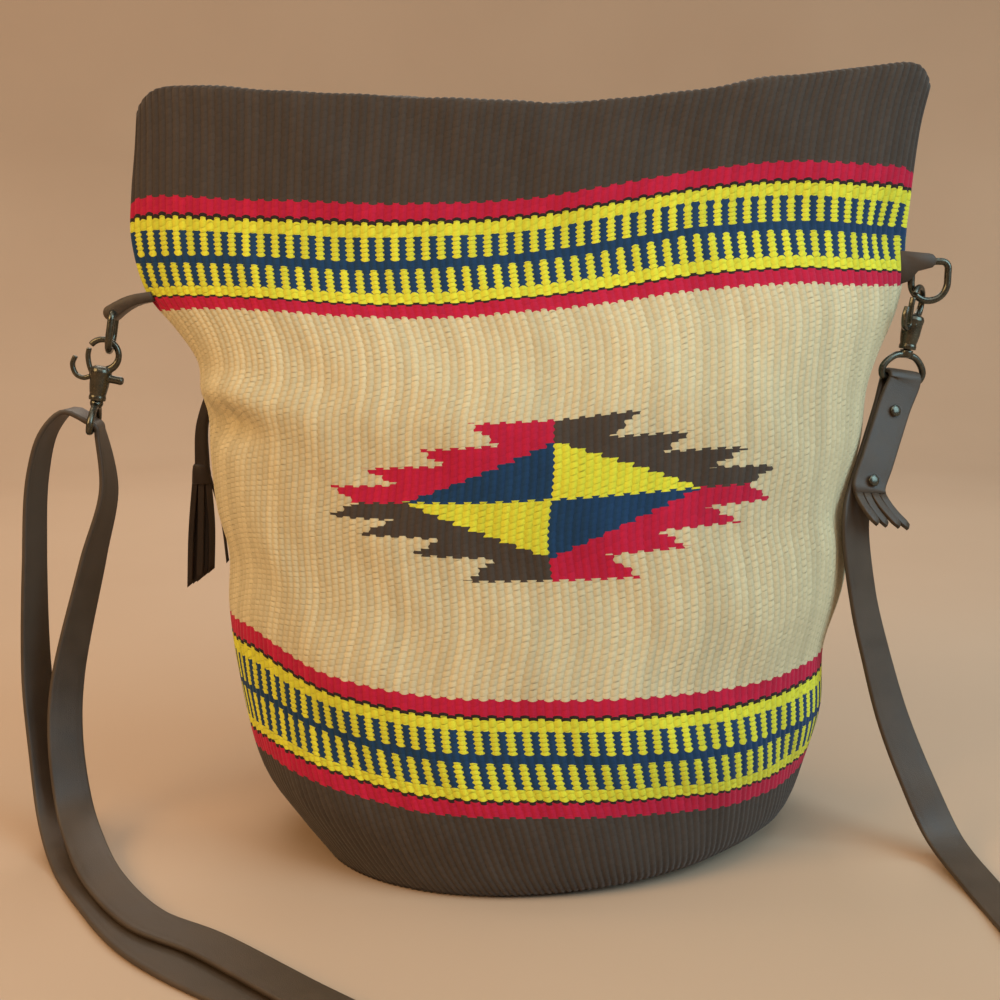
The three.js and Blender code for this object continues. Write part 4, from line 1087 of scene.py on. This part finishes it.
STRAP_WIDTH = 16.0
STRAP_THICK = 2.4
FLOOR_GAP = 0.3
FLOOR_Z = STRAP_THICK / 2 + FLOOR_GAP
ON_TOP_Z = FLOOR_Z + STRAP_THICK + 0.6
SLIDER = dict(x=-22, y=-206, heading=-31, wall=1.8, length=10, corner=1.6, edge=0.5,
              side_play=0.6, top_play=0.4)
SLIDER_Z = 2 * FLOOR_GAP + SLIDER["wall"] + STRAP_THICK / 2
DOUBLED_RUN = table(
    "x y z across",
    (-8, -214.4, SLIDER_Z + STRAP_THICK + FLOOR_GAP, 59),
    (-36, -197.6, SLIDER_Z + STRAP_THICK + FLOOR_GAP, 59),
    (-76, -166, ON_TOP_Z + 0.6, 54),
    (-121, -128, ON_TOP_Z, 42),
    (-147, -111, ON_TOP_Z, 42),
    (-172.5, -80, ON_TOP_Z + 0.6, 36),
    (-188.5, -53, 8, 37),
    (-199, -35, 18, 41),
    (-204.5, -25, 43, 47),
    (-205, -17, 67, 51),
    (-194.5, -6, 119, 66),
    (-187.5, -1, 150, 82),
)
OUTER_RUN = table(
    "x y z across",
    (-212, -1, 176, 82),
    (-218.5, -1, 156, 77),
    (-221, -4, 119, 74),
    (-221, -10, 68, 62),
    (-216, -19, 40, 55),
    (-208, -33, 13, 46),
    (-193.5, -58, FLOOR_Z + 0.4, 37),
    (-174, -88, FLOOR_Z, 38),
    (-144.5, -125.5, FLOOR_Z, 45),
    (-99.5, -159.5, FLOOR_Z, 56),
    (-40, -195, SLIDER_Z + 0.1, 59),
)
FRONT_RUN = table(
    "x y z across",
    (-4, -217, SLIDER_Z + 0.1, 60),
    (42, -240, FLOOR_Z, 70),
    (100, -250, FLOOR_Z, 92),
    (150, -230, FLOOR_Z, 130),
    (175, -182, FLOOR_Z, 166),
    (178.5, -120, FLOOR_Z, 180),
    (177, -80, FLOOR_Z + 0.3, 184),
    (171.5, -50, 9, 190),
    (161.5, -40, 32, 196),
    (152.5, -34, 56, 202),
    (145.5, -30, 81, 210),
    (139, -27.5, 108, 215),
    (135.6, -26.5, 142, 214),
)
# The strap lies flat on itself below the right eye, and the tail then swings aside and out.
FLAT_BELOW = table("below extra", (52, 0), (40, 0), (26, 0), (12, 0.3))
TAIL_TURN = table("below side out", (57.5, 2.2, 2.0), (63, 6.4, 4.2), (69, 12.8, 6.5))
RIGHT_WRAP = dict(span=(-12, 192), count=9)
LEFT_WRAP = dict(span=(-8, 75), count=5)
# Past the left eye the strap stands off in a crest before it falls.
LEFT_CREST = dict(x=-9.5, z=8.2, across=86)
STRAP_STEP = 2.6
LAYER = STRAP_THICK + FLOOR_GAP
PRESSED_LINE = dict(inset=1.9, half_width=0.8, depth=0.12, inner_dip=0.01, outer_dip=0.03, flat_share=0.6)
STRAP_EDGE = table("inward down", (0.5, 0.16), (0.12, 0.5), (0, 1.05))


def unit(vector):
    return vector / np.linalg.norm(vector)


def heading(degrees):
    return np.array([math.cos(math.radians(degrees)), math.sin(math.radians(degrees)), 0.0])


def stations(rows):
    """(place, heading of the width) for every row of a run."""
    return [(np.array([row["x"], row["y"], row["z"]], float), heading(row["across"])) for row in rows]


def over_bar(eye, start, wrap):
    """Stations that take the strap over an eye's bar, from the side of start to the other side."""
    reach = EYE_WIRE + FLOOR_GAP + STRAP_THICK / 2
    across = eye["across"]
    up = unit(np.array([0, 0, 1.0]) - across * across[2])
    out = start - across * np.dot(start, across)
    out = unit(out - up * np.dot(out, up))
    return [(eye["middle"] + reach * (out * math.cos(t) + up * math.sin(t)), across)
            for t in np.radians(np.linspace(*wrap["span"], wrap["count"]))]


right_eye = eye_bar["right"]
rise = right_eye["middle"] - stations(FRONT_RUN)[-1][0]
rise_length = np.linalg.norm(rise)
rise = rise / rise_length
face_out = unit(np.cross(right_eye["across"], rise))
if face_out[1] > 0:
    face_out = -face_out
strap_across = -right_eye["across"]


def at_rise(below, out_by):
    return right_eye["middle"] - rise * below + face_out * out_by


right_fold = [(at_rise(rise_length, -LAYER / 2), heading(FRONT_RUN[-1]["across"]))]
right_fold += [(at_rise(row["below"], -LAYER / 2 - row["extra"]), strap_across) for row in FLAT_BELOW]
right_fold += [(at, strap_across) for at, across in over_bar(right_eye, -face_out, RIGHT_WRAP)]
right_fold += [(at_rise(row["below"], LAYER / 2 + row["extra"]), strap_across) for row in FLAT_BELOW[::-1]]
for row in TAIL_TURN:
    aside = right_eye["across"] * row["side"]
    right_fold.append((at_rise(row["below"], LAYER / 2 + row["out"]) + aside, strap_across))

left_eye = eye_bar["left"]
strap_stations = stations(DOUBLED_RUN)
strap_stations += [(at, across if across[1] > 0 else -across)
                   for at, across in over_bar(left_eye, np.array([1.0, 0, 0]), LEFT_WRAP)]
left_crest = left_eye["middle"] + [LEFT_CREST["x"], 0, LEFT_CREST["z"]]
strap_stations += [(left_crest, heading(LEFT_CREST["across"]))]
strap_stations += stations(OUTER_RUN) + stations(FRONT_RUN)[:-1] + right_fold


def strap_line(step_mm):
    """Points, and headings of the width, along the strap's smooth centre line."""
    points = np.array([at for at, across in strap_stations])
    points = np.concatenate([[2 * points[0] - points[1]], points, [2 * points[-1] - points[-2]]])
    middles, acrosses = [], []
    last = len(strap_stations) - 1
    for i in range(last):
        p0, p1, p2, p3 = points[i:i + 4]
        d0, d1, d2 = (math.sqrt(np.linalg.norm(b - a)) for a, b in ((p0, p1), (p1, p2), (p2, p3)))
        slope1 = ((p1 - p0) / d0 - (p2 - p0) / (d0 + d1) + (p2 - p1) / d1) * d1
        slope2 = ((p2 - p1) / d1 - (p3 - p1) / (d1 + d2) + (p3 - p2) / d2) * d1
        steps = max(2, round(np.linalg.norm(p2 - p1) / step_mm))
        for t in np.linspace(0, 1, steps + (i == last - 1), endpoint=(i == last - 1)):
            middles.append(p1 + slope1 * t + (-3 * p1 + 3 * p2 - 2 * slope1 - slope2) * t * t
                           + (2 * p1 - 2 * p2 + slope1 + slope2) * t ** 3)
            acrosses.append(strap_stations[i][1] * (1 - t) + strap_stations[i + 1][1] * t)
    return np.array(middles), np.array(acrosses)


def strap_outline():
    """The strap's section, with rounded edges and a pressed line beside each of them."""
    half, top = STRAP_WIDTH / 2, STRAP_THICK / 2
    line = half - PRESSED_LINE["inset"]
    right = [(0.0, top), (line * PRESSED_LINE["flat_share"], top),
             (line - PRESSED_LINE["half_width"], top - PRESSED_LINE["inner_dip"]),
             (line, top - PRESSED_LINE["depth"]),
             (line + PRESSED_LINE["half_width"], top - PRESSED_LINE["outer_dip"])]
    right += [(half - row["inward"], top - row["down"]) for row in STRAP_EDGE]
    upper = [(-u, v) for u, v in right[:0:-1]] + right
    return upper + [(-u, -v) for u, v in upper]


strap_middles, strap_acrosses = strap_line(STRAP_STEP)
strap_rings = ribbon(strap_middles, strap_acrosses, strap_outline())
for ring in strap_rings:
    ring[:, 2] = np.maximum(ring[:, 2], FLOOR_GAP)

# The tail is slit into a fringe over its last millimetres. Each finger is a narrow strip of its own, with a
# rounded tip, and every second one stands off the rest.
FRINGE = dict(length=17.0, overlap=1.5, fingers=4, slit=0.35, thinner=0.5, fan=9.0, tip=2.4, tip_round=0.92)
FINGER_LIFTS = (-0.3, 0.9)
strap_steps = np.linalg.norm(np.diff(strap_middles, axis=0), axis=1)
from_end = np.concatenate([np.cumsum(strap_steps[::-1])[::-1], [0]])
uncut = from_end >= FRINGE["length"] - FRINGE["overlap"]
uncut_rings = [ring for ring, whole in zip(strap_rings, uncut) if whole]
cut = from_end <= FRINGE["length"]
cut_middles = strap_middles[cut]
cut_acrosses = strap_acrosses[cut]
cut_run = FRINGE["length"] - from_end[cut]
finger_width = STRAP_WIDTH / FRINGE["fingers"] - FRINGE["slit"]
finger_section = strip_section(finger_width, STRAP_THICK - FRINGE["thinner"])
to_tip = np.clip((cut_run - FRINGE["length"] + FRINGE["tip"]) / FRINGE["tip"], 0, 1)
narrowing = np.sqrt(1 - (FRINGE["tip_round"] * to_tip) ** 2)
fingers = []
for i in range(FRINGE["fingers"]):
    place = (i + 0.5) / FRINGE["fingers"] - 0.5
    fan = math.tan(math.radians(FRINGE["fan"] * 2 * place)) * cut_run
    lift = FINGER_LIFTS[i % 2] * np.sin(cut_run / FRINGE["length"] * math.pi / 2)
    path = cut_middles + cut_acrosses * (STRAP_WIDTH * place + fan)[:, None] + face_out * lift[:, None]
    rings = ribbon(path, cut_acrosses, finger_section)
    for ring, middle, across, width in zip(rings, path, cut_acrosses, narrowing):
        ring += np.outer((ring - middle) @ across * (width - 1), across)
    fingers.append(skin(rings))
strap_points, strap_faces = together(skin(uncut_rings), *fingers)
strap = add_piece("leather_strap", strap_points, strap_faces, strap_leather, "bag", "leather")
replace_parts(strap, "strap")

# Two domed rivets go through both layers of the fold.
RIVETS = table("name below", ("upper_strap_rivet", 16), ("lower_strap_rivet", 49))
RIVET = dict(shank=1.2, head=2.5, dome=0.9, proud=0.5, out=0.1)
# Both heads, in shares of the front head's radius and of its dome.
RIVET_BACK = table("out up", (0.02, 0.6), (0.8, 0.5), (0.9, 0))
RIVET_FRONT = table("out up", (0.97, 0), (1, 1 / 3), (0.86, 0.62), (0.5, 0.93), (0.02, 1))
grip = STRAP_THICK + LAYER / 2 - STRAP_THICK / 2 + FLOOR_GAP + RIVET["proud"]
rivet_profile = [(RIVET["head"] * row["out"], -grip - RIVET["dome"] * row["up"]) for row in RIVET_BACK]
rivet_profile += [(RIVET["shank"], -grip), (RIVET["shank"], grip)]
rivet_profile += [(RIVET["head"] * row["out"], grip + RIVET["dome"] * row["up"]) for row in RIVET_FRONT]
for rivet in RIVETS:
    turn = Vector((0, 0, 1)).rotation_difference(Vector(face_out)).to_matrix().to_4x4()
    frame_of_rivet = Matrix.Translation(Vector(at_rise(rivet["below"], RIVET["out"]))) @ turn
    points, faces = skin(lathe(rivet_profile, 32))
    points = moved(points, frame_of_rivet)
    piece = add_piece(f"bronze_{rivet['name']}", points, faces, bronze, "bag", "bronze")
    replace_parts(piece, rivet["name"])

# The slider is a rounded frame of flat bronze bar round both layers.
inner_half = ((STRAP_WIDTH + 2 * FLOOR_GAP + SLIDER["side_play"]) / 2,
              (2 * STRAP_THICK + 3 * FLOOR_GAP + SLIDER["top_play"]) / 2)
wall = SLIDER["wall"]
corner = SLIDER["corner"]
slider_section = strip_section(SLIDER["length"], wall, SLIDER["edge"])
slider_line = []
for sign_u, sign_v, start in ((1, 1, 0), (-1, 1, 90), (-1, -1, 180), (1, -1, 270)):
    for t in np.radians(np.linspace(start, start + 90, 7)):
        slider_line.append((0.0, sign_u * (inner_half[0] + wall / 2 - corner) + corner * math.cos(t),
                            sign_v * (inner_half[1] + wall / 2 - corner) + corner * math.sin(t)))
slider_line = np.array(slider_line)
slider_run = np.roll(slider_line, -1, 0) - np.roll(slider_line, 1, 0)
slider_rings = []
for at, run in zip(slider_line, slider_run):
    out = unit(np.cross(run, [1.0, 0, 0]))
    slider_rings.append(np.array([at + [u, 0, 0] + out * v for u, v in slider_section]))
slider_frame = Matrix.Translation((SLIDER["x"], SLIDER["y"], FLOOR_GAP + wall + inner_half[1]))
slider_frame = slider_frame @ rotation(SLIDER["heading"], "Z")
points, faces = skin(slider_rings, closed=True)
slider = add_piece("bronze_slider", moved(points, slider_frame), faces, bronze, "bag", "bronze")
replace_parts(slider, "strap_slider")


# The tassel
# A flat thong of waxed dark leather, sewn to the back of the panel. It widens to a rolled head, which holds
# a fringe of narrow strips cut on the slant.

TASSEL = dict(hang=np.array([-152.5, 26, 155]), seat_around=-116.0, seat_z=186.0, seat_out=0.8)
THONG = dict(width=3.4, thick=2.2, edge=0.7, crest_share=0.55, crest_rise=2.5, across=(0.94, -0.34, 0.0),
             above_knot=(1.2, 0, 22), widening=(1, 0.3, 0), steps=30)
TASSEL_HEAD = table(
    "rise half",
    (2.6, 0.2),
    (2.4, 3.2),
    (1.4, 3.9),
    (-1.5, 4.3),
    (-6, 4.6),
    (-7, 4.2),
    (-7.2, 0.2),
)
HEAD_FLATNESS = 0.56
HEAD_SIDES = 36
HEAD_ASIDE = -0.4
TASSEL_FRINGE = table(
    "side length lean width back",
    (-3.8, 55, -4, 3.0, 0),
    (-2.1, 53.5, -3.2, 3.0, 1),
    (-0.4, 52, -2.4, 3.0, -0.6),
    (1.3, 50, -1.5, 3.0, 0.8),
    (3, 48, -0.5, 3.0, -0.2),
    (4, 44, 6, 1.2, 0.6),
)
# Each strip starts up in the head, bows out a little on its way, turns, and is cut on the slant at its end.
STRIP = dict(thick=1.5, edge=0.4, steps=16, root_side=0.8, root_drop=3, end_back=1.4,
             bow_side=0.25, bow_aside=0.3, bow_back=0.6, turn_by_side=5, end_turn=10, slant=0.9, slant_late=6)
tassel_leather = leather_material("tassel_leather", dark=(0.014, 0.008, 0.005), light=(0.034, 0.020, 0.013),
                                  roughness=0.5, pores_per_mm=1.1)

knot = TASSEL["hang"]
seat_turn = math.radians(TASSEL["seat_around"])
seat = body_point(np.array([TASSEL["seat_around"]]), along_at(np.array([TASSEL["seat_z"]])))[0]
seat = seat + np.array([math.sin(seat_turn), -math.cos(seat_turn), 0]) * TASSEL["seat_out"]
crest = seat + (knot - seat) * THONG["crest_share"]
crest[2] = seat[2] + THONG["crest_rise"]
thong = smooth_line([seat, crest, knot + THONG["above_knot"], knot], THONG["steps"])
thong_section = strip_section(THONG["width"], THONG["thick"], THONG["edge"])
thong_rings = ribbon(thong, np.tile(THONG["across"], (THONG["steps"], 1)), thong_section)
for ring, share in zip(thong_rings, np.linspace(0, 1, THONG["steps"])):
    ring += (ring - ring.mean(0)) * THONG["widening"] * share
turn = full_turn(HEAD_SIDES)
head_rings = []
for row in TASSEL_HEAD:
    head_x = knot[0] + HEAD_ASIDE + row["half"] * np.cos(turn)
    head_y = knot[1] + HEAD_FLATNESS * row["half"] * np.sin(turn)
    head_rings.append(np.stack([head_x, head_y, np.full_like(turn, knot[2] + row["rise"])], 1))
strips = []
for row in TASSEL_FRINGE:
    top = knot + [row["side"] * STRIP["root_side"], row["back"], -STRIP["root_drop"]]
    end = knot + [row["side"] + row["lean"], row["back"] * STRIP["end_back"], -row["length"]]
    bow = [row["side"] * STRIP["bow_side"] + STRIP["bow_aside"], row["back"] * STRIP["bow_back"], 0]
    bow = (top + end) / 2 + bow
    path = smooth_line([top, bow, end], STRIP["steps"])
    end_turn = STRIP["end_turn"] * np.sign(row["side"])
    twist = np.radians(row["side"] * STRIP["turn_by_side"] + np.linspace(0, end_turn, STRIP["steps"]))
    across = np.stack([np.cos(twist), np.sin(twist), np.zeros(STRIP["steps"])], 1)
    rings = ribbon(path, across, strip_section(row["width"], STRIP["thick"], STRIP["edge"]))
    for ring, share in zip(rings, np.linspace(0, 1, STRIP["steps"])):
        ring[:, 2] += (ring[:, 0] - ring[:, 0].mean()) * STRIP["slant"] * share ** STRIP["slant_late"]
    strips.append(skin(rings))
tassel_points, tassel_faces = together(skin(thong_rings), skin(head_rings), *strips)
tassel = add_piece("leather_tassel", tassel_points, tassel_faces, tassel_leather, "bag", "tassel_leather")
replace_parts(tassel, "tassel")


# The floor, the light and the camera
# A pale warm floor swept up all round, a broad cool light from the right and a warm one from the left, with
# softer ones from above, from behind and on the sweep.

SWEEP = dict(middle=0.02, flat=1.2, bend=0.7, bend_steps=18, top=2.4, sides=96)
paper, tree, shader = new_material("pale_sweep")
shader.inputs["Roughness"].default_value = 0.85
place = tree.nodes.new("ShaderNodeTexCoord").outputs["Object"]
tree.links.new(mix_colour(tree, noise(tree, place, 3.0, 3.0), (0.42, 0.285, 0.19), (0.48, 0.34, 0.235)),
               shader.inputs["Base Color"])
profile = [(SWEEP["middle"], 0.0), (SWEEP["flat"] / 2, 0.0), (SWEEP["flat"], 0.0)]
profile += [(SWEEP["flat"] + SWEEP["bend"] * math.sin(t), SWEEP["bend"] * (1 - math.cos(t)))
            for t in np.radians(np.linspace(0, 90, SWEEP["bend_steps"] + 1)[1:])]
profile += [(SWEEP["flat"] + SWEEP["bend"], SWEEP["top"])]
sides = SWEEP["sides"]
sweep_turn = full_turn(sides)
sweep_points = [(out * math.cos(t), out * math.sin(t), z) for out, z in profile for t in sweep_turn]
sweep_faces = [list(range(sides))]
for first in range(0, sides * (len(profile) - 1), sides):
    for a in range(sides):
        beside = (a + 1) % sides
        sweep_faces.append((first + a, first + sides + a, first + sides + beside, first + beside))
sweep = new_surface("sweep", sweep_points, sweep_faces, paper)

PURSE_MIDDLE = (0, 0, 0.16)
LIGHTS = table(
    "name at to size power colour",
    ("window", (1.05, -0.6, 0.8), PURSE_MIDDLE, 0.9, 15.5, (0.5, 0.82, 1.0)),
    ("lamp", (-1.05, -0.75, 0.9), PURSE_MIDDLE, 0.7, 13, (1.0, 0.66, 0.32)),
    ("ceiling", (0.1, -0.7, 1.4), PURSE_MIDDLE, 1.3, 9, (1.0, 0.95, 0.86)),
    ("behind", (-0.2, 1.15, 1.2), PURSE_MIDDLE, 0.9, 8, (1.0, 0.93, 0.84)),
    ("wall_left", (-0.8, 0.35, 1.5), (-0.9, 1.7, 0.3), 0.8, 9, (1.0, 0.80, 0.58)),
    ("wall_right", (0.8, 0.35, 1.5), (0.9, 1.7, 0.3), 0.8, 8, (0.55, 0.85, 1.0)),
)
for row in LIGHTS:
    light = bpy.data.lights.new(row["name"], "AREA")
    light.size = row["size"]
    light.energy = row["power"]
    light.color = row["colour"]
    lamp = new_object(row["name"], light)
    lamp.location = row["at"]
    lamp.rotation_euler = (Vector(row["to"]) - Vector(row["at"])).to_track_quat("-Z", "Y").to_euler()
    lamp.visible_camera = False

world = bpy.data.worlds.new("soft_room")
world.use_nodes = True
world.node_tree.nodes["Background"].inputs["Color"].default_value = (1.0, 0.93, 0.86, 1)
world.node_tree.nodes["Background"].inputs["Strength"].default_value = 0.15
bpy.context.scene.world = world

CAMERA = dict(at=(-0.0152, -0.545, 0.236), down=9.5, lens=45.0, sensor=36.0)
camera_data = bpy.data.cameras.new("camera")
camera_data.lens = CAMERA["lens"]
camera_data.sensor_width = CAMERA["sensor"]
camera_data.clip_start = 0.01
camera = new_object("camera", camera_data)
camera.location = CAMERA["at"]
camera.rotation_euler = (math.radians(90 - CAMERA["down"]), 0, 0)
bpy.context.scene.camera = camera

bpy.context.scene.view_settings.view_transform = "Standard"
